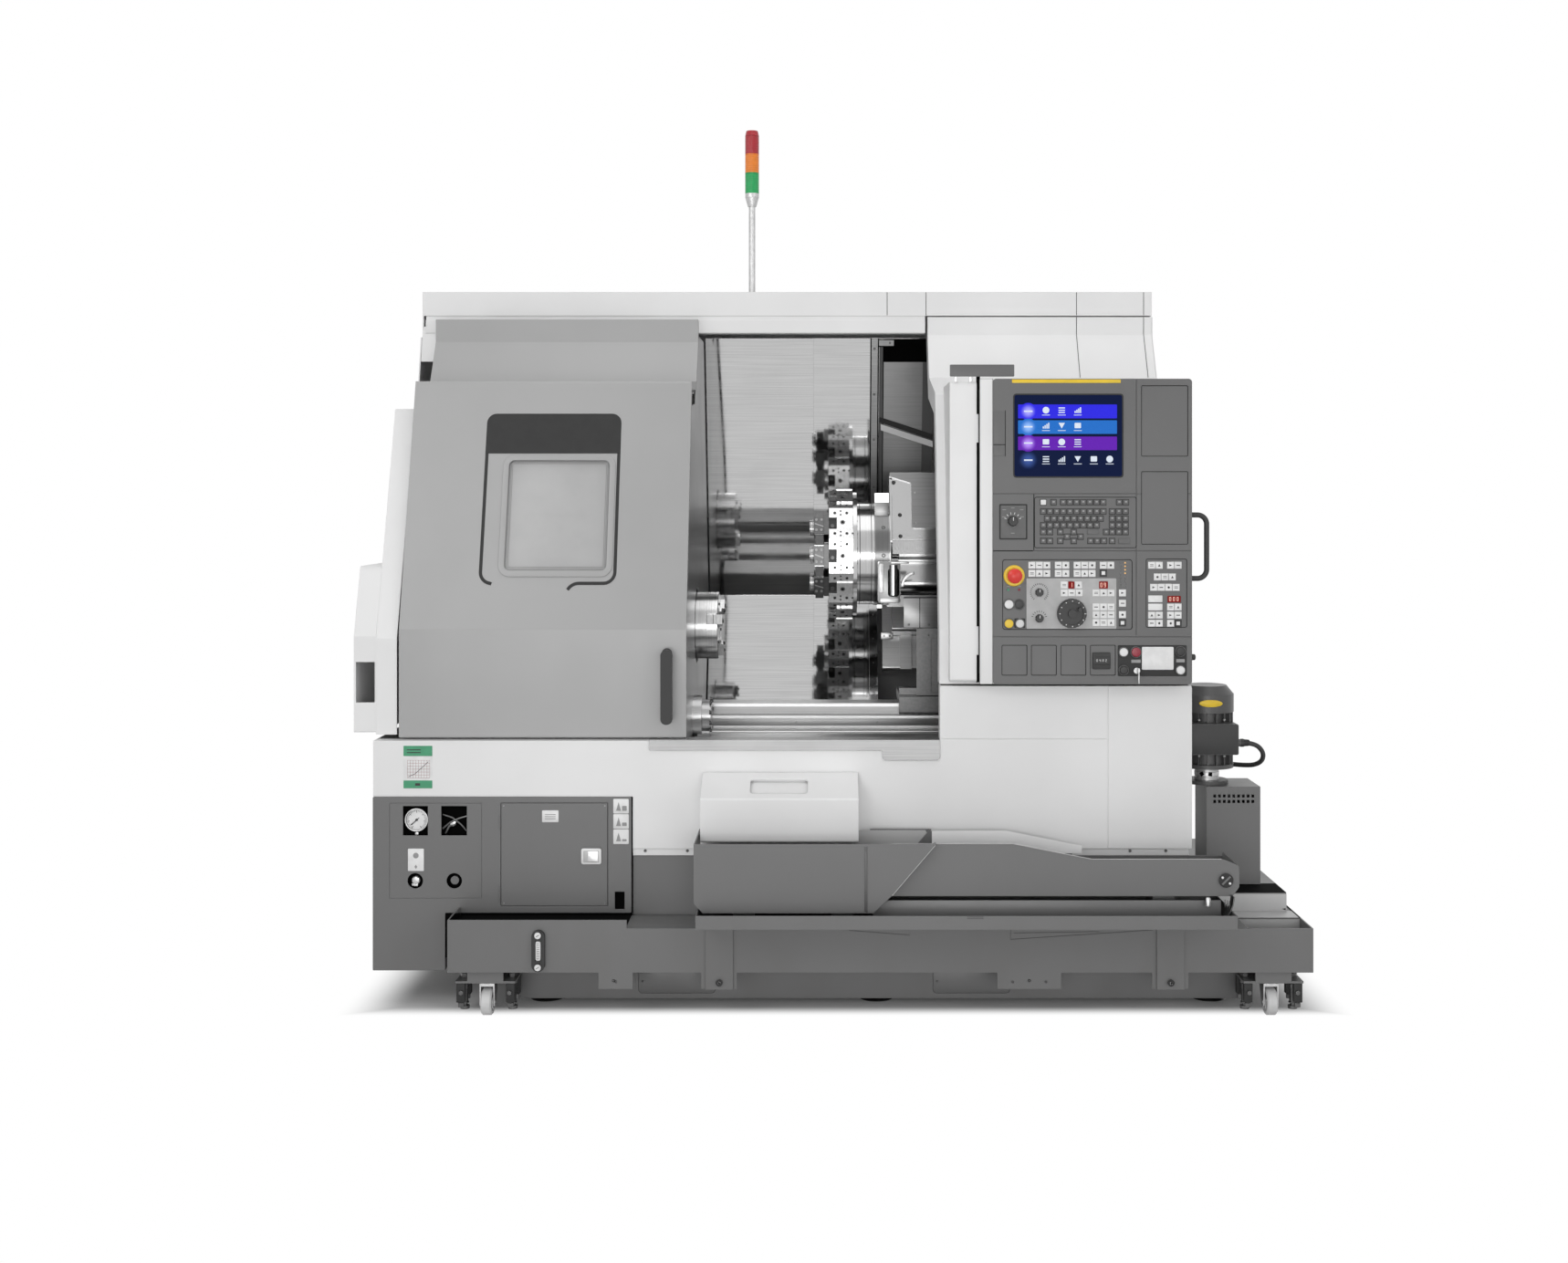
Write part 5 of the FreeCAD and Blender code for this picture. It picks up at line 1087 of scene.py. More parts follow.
# service cabinet, printed chart and signs on the apron; signs hold their carrier and x and z spans
cabinet = {"front": -610.0, "gauge": (-1161.0, -605.4, 526.0), "signs": [
    ("machine", -1184.7, -1139.3, 381.2, 444.8), ("service_door", -802.8, -756.0, 520.2, 553.9),
    ("machine", -600.1, -556.0, 457.8, 499.6), ("machine", -600.1, -556.0, 501.2, 543.0),
    ("machine", -600.1, -556.0, 544.6, 586.4)]}


def cabinetSigns():
    plates = {"machine": Blank(), "service_door": Blank()}
    prints = {"machine": Blank(), "service_door": Blank()}
    for index, (body, x0, x1, z0, z1) in enumerate(cabinet["signs"]):
        level = cabinet["front"] - (1 if body == "service_door" else 0)
        plates[body].pad((x0, x1), (z0, z1), 2.5, (level - 1.0, level + 0.3), 0.3)
        face = (level - 1.3, level - 0.9)
        middle = (x0 + x1) / 2
        if index == 0:
            prints[body].lathe((middle, level - 0.9, z0 + 44), toFront,
                               [(0, 0), (0, 8), (0.35, 8), (0.35, 6.6), (0.34, 6.6), (0.34, 0)], 20)
            prints[body].plate([(middle - 4, z0 + 12), (middle, z0 + 6), (middle + 4, z0 + 12),
                                (middle, z0 + 18)], face)
        elif index == 1:
            for low in (z0 + 9, z0 + 15, z0 + 21):
                prints[body].block((x0 + 8, x1 - 8), face, (low, low + 2))
        else:
            prints[body].plate([(x0 + 8, z0 + 8), (x0 + 22, z0 + 8), (x0 + 15, z1 - 9)], face)
            prints[body].pad((x0 + 25, x1 - 6), (z0 + 8, z0 + 14 + 4 * (index - 2)), 2, face)
    for body, name in (("machine", "cabinet_signs"), ("service_door", "door_sign")):
        plates[body].finish(name, body, "labelWhite")
        prints[body].finish(name + "_prints", body, "markGrey")


def cabinetPieces():
    gauge = cabinet["gauge"]
    x, y, z = gauge
    Blank().disc((x, y + 3, z), toFront, 29.2, 2.4, 0.4, 48).finish("gauge_dial", "machine", "labelWhite")
    dial("gauge_ticks", "machine", "markDark", gauge, (25.0, 31, -60, 300), (3.2, 0.8, 0.4))
    dial("gauge_tick_marks", "machine", "markDark", gauge, (23.6, 7, -60, 300), (6.0, 1.4, 0.4))
    needle = Blank().disc(gauge, toFront, 3.6, 2.4, 0.8, 20)
    needle.plate([(x - 17, z - 13.5), (x - 14.5, z - 15.5), (x + 7.6, z + 5.0), (x + 6.4, z + 6.6)],
                 (-606.6, -605.8))
    needle.finish("gauge_needle", "machine", "markDark")
    rim = Blank().lathe((x, -606.5, z), toFront, [(0, 29.4), (0, 33.4), (2.6, 33.2), (3.4, 32.2), (3.4, 30.6),
                                                  (2.2, 29.4), (0, 29.4)], 48)
    rim.disc((x, -600, z - 40), toFront, 5.5, 4, 1, 6).finish("gauge_rim", "machine", "zinc")
    shadows = Blank().block((-1278, -985), (-591.6, -590.2), (306, 586))
    shadows.block((-602, -562), (-604.6, -603.6), (266, 328))
    shadows.block((-1036, -548), (-608, -606), (225, 261.6))
    shadows.block((-1035.8, -548), (-760.8, -616), (255.1, 256.4))
    shadows.block((-1078.6, -1062), (-608, -606), (134, 278))
    shadows.plate([(-760.8, 256), (-616, 256), (-616, 263.4), (-681, 277.6), (-760.8, 277.6)],
                  (-1035.8, -1034.8), 0.0, "yz")
    shadows.finish("cabinet_shadow_gaps", "machine", "deep")
    blocks("service_door_stop", "machine", "slateDark", [(x, (-603.5, -602.5), z) for x, z in (
        ((-935, -914), (268, 588)), ((-622, -600), (268, 588)), ((-914, -622), (568, 588)),
        ((-914, -622), (268, 289)))])
    lines = Blank().tube([(-1088, -600, 500), (-1066, -603, 518), (-1040, -603, 530), (-1018, -600, 536)],
                         3.2)
    lines.tube([(-1088, -598, 540), (-1060, -602, 532), (-1034, -603, 512), (-1020, -599, 494)], 2.6)
    lines.tube([(-1080, -596, 486), (-1068, -600, 508), (-1050, -600, 514)], 4.4)
    lines.finish("air_lines", "machine", "hardSteel")
    fittings = Blank().lathe((-1058, -598, 516), toFront, stud(9, 5, 6, 6), 6)
    fittings.lathe((-1164, -601, 353), toFront, stud(11, 3, 4, 8), 6)
    fittings.block((-1176, -1158), (-603, -600), (336, 344), 1).finish("air_fittings", "machine", "zinc")
    pocket = [(-712, 595), (-712, 597), (-627, 639), (-627, 650.5), (-625, 651.5), (-625, 637.8)]
    Blank().plate(pocket, (-217, -37), 0.0, "yz").finish("chute_pocket", "chute_flap", "white")
    screws("service_door_screws", "service_door", [(x, -611, z) for x in (-912, -624) for z in (567, 290)],
           3.5, 1.6, finish="zinc")
    pads("service_latch_frame", "service_door", "labelWhite", [((-691, -634), (401, 446), 6)],
         (-615.2, -610.6), 0.8)
    pads("service_latch_well", "service_door", "pale", [((-685, -641), (407, 440), 3)], (-615.8, -614.8), 0.3)
    pads("service_latch_flap", "service_door", "zinc", [((-673, -641.5), (408, 439), 3)], (-618.4, -615.2),
         1.2)


chart = {"x": (-1199.1, -1115.8), "z": (615.2, 737.5), "front": -605.0}


def chartPieces():
    (x0, x1), (z0, z1), front = chart["x"], chart["z"], chart["front"]
    pads("chart_sheet", "machine", "labelWhite", [(chart["x"], chart["z"], 1.5)], (front - 0.5, front + 0.2))
    pads("chart_bands", "machine", "green", [((x0 + 0.6, x1 - 0.6), (low, high), 1.2) for low, high in (
        (z1 - 30, z1 - 0.6), (z0 + 0.6, z0 + 23))], (front - 0.8, front - 0.4))
    low, high, face = z0 + 30, z1 - 42, (front - 0.75, front - 0.45)
    lines = Blank()
    for step in range(9):
        x = x0 + 12 + (x1 - x0 - 20) * step / 8
        lines.block((x - 0.25, x + 0.25), face, (low, high))
    for step in range(7):
        z = low + (high - low) * step / 6
        lines.block((x0 + 12, x1 - 8), face, (z - 0.25, z + 0.25))
    lines.finish("chart_grid", "machine", "redDark")
    graph = Blank().plate(ribbon([(x0 + 14, low + 3), (x0 + 34, low + 12), (x1 - 12, high - 4)], 1.3),
                          (front - 0.95, front - 0.6))
    for x, z in (((x0 + 10, x0 + 50), (z1 - 13.2, z1 - 10.8)), ((x0 + 10, x0 + 50), (z1 - 21.2, z1 - 18.8)),
                 ((x0 + 34, x0 + 48), (z0 + 8, z0 + 15))):
        graph.block(x, (front - 0.95, front - 0.7), z)
    graph.finish("chart_line", "machine", "markDark")


def signPieces():
    # bare plate on two posts above the pendant's column
    pads("column_plate", "machine", "panel", [((355, 537), (1786, 1820), 3)], (-651, -648.4), 0.7)
    blocks("column_plate_posts", "machine", "zinc", [((x - 5, x + 5), (-648.6, -645), (1770, 1806))
                                                     for x in (372, 414)], 0.8)


doorPieces()
cabinetSigns()
cabinetPieces()
chartPieces()
signPieces()
print("door, cabinet and chart done")


def coverPieces():
    # seams of the roof, the shadow beside the pendant's hinge, the plate that closes the left corner
    seams = Blank()
    for x, sloping in ((201, False), (325, False), (805, True), (1019, True)):
        span = (x - 0.8, x + 0.8)
        seams.block(span, (-0.6, 0.6), (2026, 2099))
        if sloping:
            seams.block(span, (-0.6, 0.6), (1964, 2020))
            seams.plate([(-0.8, 1964), (-80.8, 1822), (-79, 1821), (0.6, 1962.6)], span, 0.0, "yz")
    seams.finish("cover_seams", "machine", "markDark")
    blocks("hinge_shadow_strip", "machine", "deep", [((430.6, 441.5), (-635.8, -634.6), (921, 1789))])
    corner = Blank().plate([(-22, 1876), (3, 1990), (5, 1990), (-20, 1876)], (-1281, -1150), 0.0, "yz")
    corner.finish("corner_closing_plate", "machine", "white")


# the turret: distances from its axis to the wedges, the flats and the pocket floors
turret = {"centre": (-10.0, 1265.0), "count": 12, "wedge": 206.0, "flat": 200.2, "pocket": 188.0}


def turretPlace(degrees):
    # outward direction of a flat, and a point at x, a distance from the axis and a shift across
    angle = math.radians(degrees)
    out = Vector((0, math.cos(angle), math.sin(angle)))
    across = Vector((0, -math.sin(angle), math.cos(angle)))
    centre = Vector((0, *turret["centre"]))
    return out, lambda x, level, side=0.0: centre + Vector((x, 0, 0)) + out * level + across * side


def turretPieces():
    looks = {"wedge_screws": "hardSteel", "flat_screws": "hardSteel", "flat_plugs": "hardSteel",
             "screw_sockets": "deep", "turret_pockets": "black", "pocket_nuts": "hardSteel",
             "turret_face_plugs": "hardSteel"}
    made = {name: Blank() for name in looks}
    heads = [("wedge_screws", turret["wedge"], 57, 0, 7.4)]
    heads += [("flat_screws", turret["flat"], x, side, 4.8) for side in (-36, 36) for x in (33, 70)]
    heads += [("flat_plugs", turret["flat"], 51, side, 3.0) for side in (-43, -30, 30, 43)]
    heads += [("flat_plugs", turret["flat"], 88, 36, 3.4)]
    for step in range(turret["count"]):
        out, place = turretPlace(180 - 30 * step)
        for name, level, x, side, radius in heads:
            made[name].lathe(place(x, level - 0.4, side), out, stud(radius, 0.9, 1.3, radius - 0.6), 14)
            if name != "flat_plugs":
                made["screw_sockets"].lathe(place(x, level + 0.8, side), out, stub(radius * 0.5, 0.3), 6)
        made["turret_pockets"].prism(*[[place(x, turret["pocket"] + rise, side)
                                        for x, side in box(15.4, 38.6, -19.6, 19.6)] for rise in (0, 4)])
        made["pocket_nuts"].lathe(place(26, turret["pocket"] + 4, 6), out, stud(7, 2.0, 2.6, 6), 6)
        made["turret_face_plugs"].lathe(turretPlace(195 - 30 * step)[1](14.4, 176), toLeft,
                                        [(0, 0), (0, 5), (1.2, 4.6), (1.2, 0)], 16)
    for name, finish in looks.items():
        made[name].finish(name, "turret", finish)
    y, z = turret["centre"]
    lathes("turret_shoulder", "turret", "drumSteel", [(89.4, y, z)], toRight, hoop(190, 196.5, 12.9), 96)
    screws("turret_face_screws", "turret", ringSpots((14.6, y, z), 120, 12, 15, 360, "yz"), 7, 6, toLeft)
    screws("turret_ring_screws", "turret", ringSpots((101.9, y, z), 176, 24, 8, 360, "yz"), 5, 4, toRight)
    holderPieces()


def holderPieces():
    clamps = Blank()
    for angle, reach in ((136, 176), (165, 184), (195, 184), (224, 176)):
        place = turretPlace(angle)[1]
        clamps.prism(*[[place(x, level, side) for x, side in box(-27, -2, -17, 17)]
                       for level in (150, reach)])
    clamps.finish("holder_clamps", "turret", "hardSteel")
    for index, angle in enumerate((150, 180, 210)):
        out, place = turretPlace(angle)
        rings = Blank()
        for x, radius, width in ((-43.6, 26, 2.4), (-39.2, 26.6, 2.4), (-34.8, 26, 2.0)):
            rings.lathe(place(x, 166), toRight, hoop(radius - 6, radius, width), 40)
        for side in (-32.4, 30.4):
            rings.prism(*[[place(x, level, side + shift) for x, level in box(-30, 0, 148, 186)]
                          for shift in (0, 2)])
        rings.finish("holder_rings_%d" % index, "turret", "chuckSteel")
        faces = Blank()
        for x, side in ((-24, 18), (-8, 18), (-24, -18), (-8, -18)):
            faces.lathe(place(x, 189.6, side), out, [(0, 0), (0, 4.4), (1.6, 4.4), (2.0, 3.8), (2.0, 2),
                                                     (1, 2), (1, 0)], 12)
        faces.prism(*[[place(x, level, side) for x, side in ((-29, -6), (-2, 4), (-2, 8), (-29, -2))]
                      for level in (189.6, 191.0)])
        faces.finish("holder_faces_%d" % index, "turret", "sillSteel")


def housingPieces():
    y, z = turret["centre"]
    bands = Blank()
    for x, width, radius in ((110, 2.2, 160.5), (146, 2.2, 160.5), (157, 1.6, 162.4), (202, 1.6, 162.4)):
        bands.lathe((x, y, z), toRight, hoop(radius - 3, radius, width), 96)
    bands.finish("drum_bands", "turret_housing", "hardSteel")
    lathes("clamp_ring_skin", "turret_housing", "clampSteel", [(159, y, z)], toRight, hoop(160, 162.5, 42.6),
           96)
    ring = Blank()
    for step in range(12):
        out, place = turretPlace(180 - 32 * step)
        ring.lathe(place(184, 161.4), out, [(0, 0), (0, 6.2), (1.4, 6.2), (1.9, 5.4), (1.9, 2.6), (0.6, 2.6),
                                            (0.6, 0)], 14)
    ring.finish("ring_screws", "turret_housing", "hardSteel")
    # darker steel skins over the drum's face and the supply block's polished front: painted dark reflection
    # where these faces would mirror the white studio
    face = Blank().block((158.4, 201.6), (-117.2, -116.2), (1380.4, 1429), 0.3)
    face.pad((166.4, 235.6), (1118.4, 1245.6), 7, (-181.2, -180.2), 0.4)
    face.finish("supply_block_face", "turret_housing", "guardSteel")
    pads("supply_block_lands", "turret_housing", "zinc", [((173, 230), (1120, 1133), 5),
                                                          ((170, 184), (1150, 1240), 5)], (-182.2, -181), 0.4)
    # the supply block's recess: a near-black sheet, painted shade
    pads("supply_recess", "turret_housing", "deep", [((197, 232), (1138, 1226), 10)], (-182.0, -180.8), 0.4)
    blocks("supply_top_bar", "turret_housing", "zinc", [((206, 262), (-184, -150), (1240, 1246))], 1)
    ribbons("supply_elbow", "turret_housing", "zinc", [arc(286, 1168, 44, 180, 100, 8)], 9, (-176, -150), 0.8)
    spots = [slanted(u, -131.4, x) for x, u in ((218, 431), (237, 325), (238, 257))]
    screws("housing_plate_screws", "turret_housing", spots, 6.2, 4, slantOut)
    spots = [slanted(u, -138.9, x) for x, u in ((284, 395), (285, 296))]
    screws("housing_guard_screws", "turret_housing", spots, 5, 3, slantOut, "zinc")
    outline = [(206.6, 460.4), (206.6, 449.4), (212.4, 446.4), (272.6, 427.4), (272.6, 293), (274, 286),
               (279, 282), (286, 281.6), (365.4, 281.6), (365.4, 460.4)]
    skin = Blank().prism(*[[slanted(u, v, x) for x, u in outline] for v in (-138.8, -137.6)])
    skin.finish("housing_guard_skin", "turret_housing", "guardSteel")
    profile = ((200, -131), (243.8, -131), (243.8, -110), (200, -62))
    apron = Blank().prism(*[[slanted(u, v, x) for u, v in profile] for x in (213, 366)])
    apron.finish("housing_lower_apron", "turret_housing", "drumSteel")


# the slanted bed: its angle, and the chuck's centre, where its two directions start
chuck = {"centre": (-68.0, 1042.0), "jaws": (165, 285, 405), "rimScrew": 225}
slantAngle = math.radians(75.42)
slantOut = (0.0, -math.sin(slantAngle), math.cos(slantAngle))


def slanted(u, v, x=0.0):
    y, z = chuck["centre"]
    return (x, y + u * math.cos(slantAngle) + v * math.sin(slantAngle),
            z + u * math.sin(slantAngle) - v * math.cos(slantAngle))


def chuckSpot(x, radius, degrees, side=0.0):
    y, z = chuck["centre"]
    across, up = math.cos(math.radians(degrees)), math.sin(math.radians(degrees))
    return (x, y + across * radius - up * side, z + up * radius + across * side)


def chuckPieces():
    screws("chuck_face_screws", "chuck", [chuckSpot(-329.9, 70, angle) for angle in (105, 225, 345)],
           6.5, 5, toRight)
    turn = math.radians(chuck["rimScrew"])
    screws("chuck_rim_screws", "chuck", [chuckSpot(-366, 104.6, chuck["rimScrew"])], 6, 2,
           (0.0, math.cos(turn), math.sin(turn)))
    for index, angle in enumerate(chuck["jaws"], 1):
        body = "jaw_%d" % index
        screws("jaw_screws_%d" % index, body, [chuckSpot(-316.1, radius, angle) for radius in (60, 82)],
               7.5, 6, toRight)
        teeth = Blank()
        for radius in range(52, 95, 7):
            corners = box(-14.8, 14.8, radius, radius + 2.4)
            teeth.prism(*[[chuckSpot(x, reach, angle, side) for side, reach in corners]
                          for x in (-344.8, -343.4)])
        teeth.finish("jaw_serrations_%d" % index, body, "hardSteel")


# the way cover's face leans back; skins on it hold name, finish, outline, distance in front, thickness
cover = {"top": 1975.0, "back": 250.0, "lean": 250.0 / 870.0, "skins": [
    ("guard_face", "guardSteel", box(199, 367, 1343, 1972), -1.6, 0.8),
    ("guard_right_part", "slateDark", box(330, 366.6, 1344, 1896), -2.4, 0.6),
    # the skins in the deep finish are painted shade: a dark sheet across the guard's top and dark lines at
    # the edges of the strip, the frame and the frame's head
    ("guard_top", "deep", box(199, 367, 1897, 1972), -2.6, 0.6),
    ("guard_bar_face", "white", [(191, 1691), (367, 1635), (367, 1614), (191, 1671)], -13.4, 0.8),
    ("guard_bar_flange", "charcoal", [(186, 1716), (367, 1658), (367, 1640), (186, 1698)], -3.6, 1.6),
    ("guard_strip", "slateDark", box(184.5, 199, 1343, 1972), -2.0, 0.8),
    ("guard_strip_edge", "deep", box(196.4, 199.4, 1343, 1960), -2.8, 0.6),
    ("frame_face", "sillSteel", box(158, 179, 1110, 1972), -10.4, 0.6),
    ("frame_edge_left", "deep", box(154.4, 158, 1110, 1974), -10.6, 0.6),
    ("frame_edge_right", "deep", box(179, 182.6, 1110, 1974), -10.6, 0.6),
    ("frame_head", "sillSteel", box(182.6, 232, 1949, 1968), -11.0, 0.8),
    ("frame_head_edge", "deep", box(182.6, 232, 1945.6, 1949), -11.0, 0.8),
]}


def coverLean(z):
    return cover["back"] + (cover["top"] - z) * cover["lean"]


def chamberPieces():
    for name, finish, outline, level, thickness in cover["skins"]:
        cutPlate(name, [outline], level, thickness, "saddle", finish, coverLean)
    wall = tuple(Vector((0, -870, -250)).normalized())
    foot = tuple(Vector((0, -355, 145)).normalized())
    screws("frame_screws", "saddle", [(168, coverLean(z) - 10.8, z)
                                      for z in (1180, 1330, 1480, 1640, 1790, 1940)], 6.2, 3, wall)
    screws("frame_head_screw", "saddle", [(219, coverLean(1959) - 11.2, 1959)], 5.5, 3, wall)
    screws("frame_foot_screws", "saddle", [(168, 355 + (z - 750) * 145 / 355 - 8.6, z)
                                           for z in (800, 880, 960, 1040)], 4.8, 3, foot)
    blocks("cover_stop_block", "saddle", "zinc", [((186, 226), (150, 168), (980, 1002))], 1.5)
    screws("stop_block_screws", "saddle", [(x, 149.8, 991) for x in (196, 215)], 5.5, 3)
    screws("flange_bolts", "machine", ringSpots((-345, -225, 776), 52, 10, 18, 360, "yz"), 7.5, 7, toRight)
    blocks("upper_way_band", "machine", "guardSteel", [((-400, 231), (-150.3, -150), (771, 795))])
    blocks("lower_way_band", "machine", "sillSteel", [((-400, 366), (-190.8, -190), (741, 763))], 0.2)
    screws("way_screws", "machine", [(-87, -190.8, 752), (163, -190.8, 752)], 5, 1.6)
    pads("tail_guard_plate", "tailstock", "guardSteel", [((245, 366), (1042, 1136), 3)], (-190, -187.4), 0.6)
    blocks("tail_guard_seams", "tailstock", "deep", [(x, (-190.5, -189.8), z) for x, z in (
        ((294, 296), (1043, 1135)), ((245, 366), (1134, 1137)), ((245, 366), (1041, 1043)))])
    screws("tail_guard_screws", "tailstock", [(323, -190.2, 1052), (261, -190.2, 1052),
                                                           (323, -186.3, 1020)], 5.5, 3)


coverPieces()
turretPieces()
housingPieces()
chuckPieces()
chamberPieces()
print("chamber done")


# tank, conveyor, casters and pump
def tankPieces():
    pads("level_scale", "machine", "labelWhite", [((-795, -781), (168, 222), 5)], (-775.0, -772.0), 0.6)
    repeat("level_ticks", "key", [(-788, -775.2, 174 + 5.2 * step) for step in range(9)], "machine",
           "markDark", Size=(0.0075, 0.0009, 0.0006), Rise=0.0001)
    ends = (151, 239)
    lathes("gauge_bolts", "machine", "labelWhite", [(-788, -781.2, z) for z in ends], toFront,
           stud(9, 2.4, 3.6, 7.6), 24)
    ribbons("gauge_bolt_slots", "machine", "markDark", [[(-792, z - 2.4), (-784, z + 2.4)] for z in ends],
            1.4, (-785.3, -784.6))
    blocks("tank_deck_plate", "machine", "deckGrey", [
        ((1171, 1343), (-639.6, -561), (255.1, 256.2)), ((1109, 1169), (-612, -561), (255.1, 256.2)),
        ((1072, 1329), (-561.4, -560.1), (256, 305))], 0.3)
    seams = Blank().block((1343.4, 1347), (-640, 249), (255.1, 256.4))
    seams.block((1072, 1328), (-559, -440), (308.1, 309))
    seams.plate([(1316, 262), (1326, 259), (1326, 263.5)], (-562.2, -561.2))
    seams.finish("tank_deck_seams", "machine", "deep")
    blocks("tank_pit_wall", "machine", "deckGrey", [((1170.2, 1345.8), (-639.8, -637.8), (138, 250.8)),
                                                    ((1170.2, 1345.8), (-761, -640), (137.1, 138))])
    slots = (-420, 420)
    pads("lifting_slot_covers", "machine", "slate", [around(x, 65, 218.8, 68.8, 12) for x in slots],
         (-600.8, -598.8), 0.4)
    screws("cover_screws", "machine", [(x + side, -601, 65) for x in slots for side in (-98, 98)], 5, 3)
    screws("rail_bolts", "machine", [(x, -601.6, 437) for x in (-510, -390, 872, 974)], 6.5, 4)
    straps = (-289, 955)
    lathes("strap_washers", "machine", "charcoal", [(x, -778.0, 108) for x in straps], toFront,
           stub(9.5, 1.6), 24)
    screws("strap_bolts", "machine", [(x, -779.6, 108) for x in straps], 6.2, 6, finish="zinc")
    screws("hook_bolts", "machine", [(-581, -766.2, 111), (566, -766.2, 111)], 5, 4)


# the wheels' spots; jack screws and spacers stand beside each
casters = {"spots": {"wheel_left": (-939, -690), "wheel_right": (1245, -690), "wheel_rear": (1264, 150)},
           "jack": 67, "spacer": (69, 44), "bore": 7.2}


def casterPieces():
    stems, nuts, feet = Blank(), Blank(), Blank()
    bore = casters["bore"]
    along, back = casters["spacer"]
    collar = [(0, bore), (0, 11.4), (3, 11.4), (4, 9.4), (40, 9.4), (41, 11.4), (54, 11.4), (54, bore),
              (0, bore)]
    foot = [(0, 0), (0, 9), (12, 9), (12, 6), (14, 6), (14, 0)]
    for body, (x, y) in casters["spots"].items():
        for way in (-1, 1):
            jack = x + way * casters["jack"]
            stems.lathe((jack, y, 30), toTop, collar, 20)
            nuts.lathe((jack, y, 86), toTop, hoop(bore, 14, 11.8), 6)
            nuts.lathe((jack, y, 114.2), toTop, hoop(bore, 12.4, 9), 6)
            nuts.lathe((jack, y - 54.2, 72), toFront, stud(7, 4, 5, 5.4), 6)
            for post, level in ((x + way * along, y - back), (x + way * along, y + back)):
                feet.block((post - 12, post + 12), (level - 10, level + 10), (44, 97.8), 2)
                nuts.lathe((post, level, 30), toTop, foot, 6)
        hub = Blank()
        for way in (-1.0, 1.0):
            hub.lathe((x + 15.05 * way, y - 15, 37.7), (way, 0, 0),
                      [(0, 5.4), (0, 21), (1.2, 20), (1.2, 12), (2.2, 11), (2.2, 5.4), (0, 5.4)])
        hub.finish(body + "_hub", body, "zinc")
    stems.finish("jack_collars", "machine", "hardSteel")
    nuts.finish("jack_nuts", "machine", "hardSteel")
    feet.finish("caster_spacers", "machine", "charcoal")


def conveyorPieces():
    front = -865.0
    Blank().plate([(109, 326), (117, 322), (117, 500), (109, 500)], (front - 1.6, front + 0.4), 0.3).finish(
        "bin_corner_strip", "machine", "slateDark")
    screws("bin_screws", "machine", [(113, front - 1.6, z) for z in (490, 374)], 3.2, 2.4)
    lathes("tension_disc", "machine", "charcoal", [(1091, -845.8, 405)], toFront, stud(19.6, 1.8, 2.6, 18.6),
           40)
    ribbons("tension_slot", "machine", "slate", [[(1080, 394), (1102, 416)]], 5.2, (-849.0, -848.2))
    for x, z in ((1081, 413), (1101, 397)):
        screw = Blank().disc((x, -848.3, z), toFront, 3.6, 1.6, 0.5, 12)
        screw.finish("tension_screw_%d" % x, "machine", "zinc")
    dimples = [(384 + 4.4 * column, -924.9, 324.6 - 4.2 * row) for column in range(10) for row in range(2)]
    repeat("tray_dimples", "dot", dimples, "machine", "black", Radius=0.0014)
    # the rear liner is white, in the paler white that holds painted light against the trough's shade
    liner = [(304, 440), (727, 440), (727, 461.4), (513, 503.8), (304, 503.8)]
    Blank().plate(liner, (-654.4, -653.2)).finish("trough_rear_liner", "machine", "troughWhite")
    skin = [(84, 440), (301, 440), (301, 478), (286, 504), (84, 504)]
    Blank().plate(skin, (-646.4, -645.2)).finish("bin_rear_skin", "machine", "pale")
    # pale lines along the trough's top edges and along the bin's slanted edge: painted highlights
    edges = Blank()
    for line in ([(183, 503.6), (512, 503.6)], [(513, 503.6), (727, 461.6)], [(728, 461.6), (1080, 461.6)]):
        edges.plate(ribbon(line, 1.6), (-840.8, -838), 0.2)
    edges.plate(ribbon([(184, 368), (300, 503.4)], 1.6), (-865.6, -864.4))
    edges.finish("trough_edges", "machine", "pale")
    blocks("tray_splash_plate", "machine", "slate", [((133, 1079), (-837, -835), (294, 349))], 0.4)
    guide = Blank().plate(ribbon([(1106, 366), (1103, 345), (1095, 324), (1082, 304)], 3.0), (-878, -842),
                          0.4)
    for x, z in ((1080, 352), (1086, 350), (1092, 348)):
        guide.block((x, x + 2.4), (-878, -874), (z - 14, z + 8), 0.5)
    guide.finish("chip_guide", "machine", "hardSteel")
    lathes("trough_roller", "machine", "zinc", [(1041, -848, 336)], toTop, stud(7.5, 20, 24, 5), 20)
    bars = Blank().plate([(515, 226), (905, 252), (905, 256), (515, 256)], (-768.5, -765.2))
    bars.plate([(68, 251), (68, 256), (236, 256), (236, 238)], (-768.5, -765.2))
    bars.finish("tray_gussets_front", "machine", "slate")
    # dark lines along the gussets' lower edges: painted shade beneath them
    ribbons("tray_gusset_rims", "machine", "slateDark", [[(514, 225.6), (905, 251.4)],
                                                         [(524, 243), (760, 247)],
                                                         [(68, 250.6), (236, 237.6)]], 1.8, (-769.6, -768.2))


# the coolant pump: its motor has no fins where their cosine passes finFree, on the right
pump = {"centre": (1140.0, -372.0), "fins": 22, "finFree": 0.86}


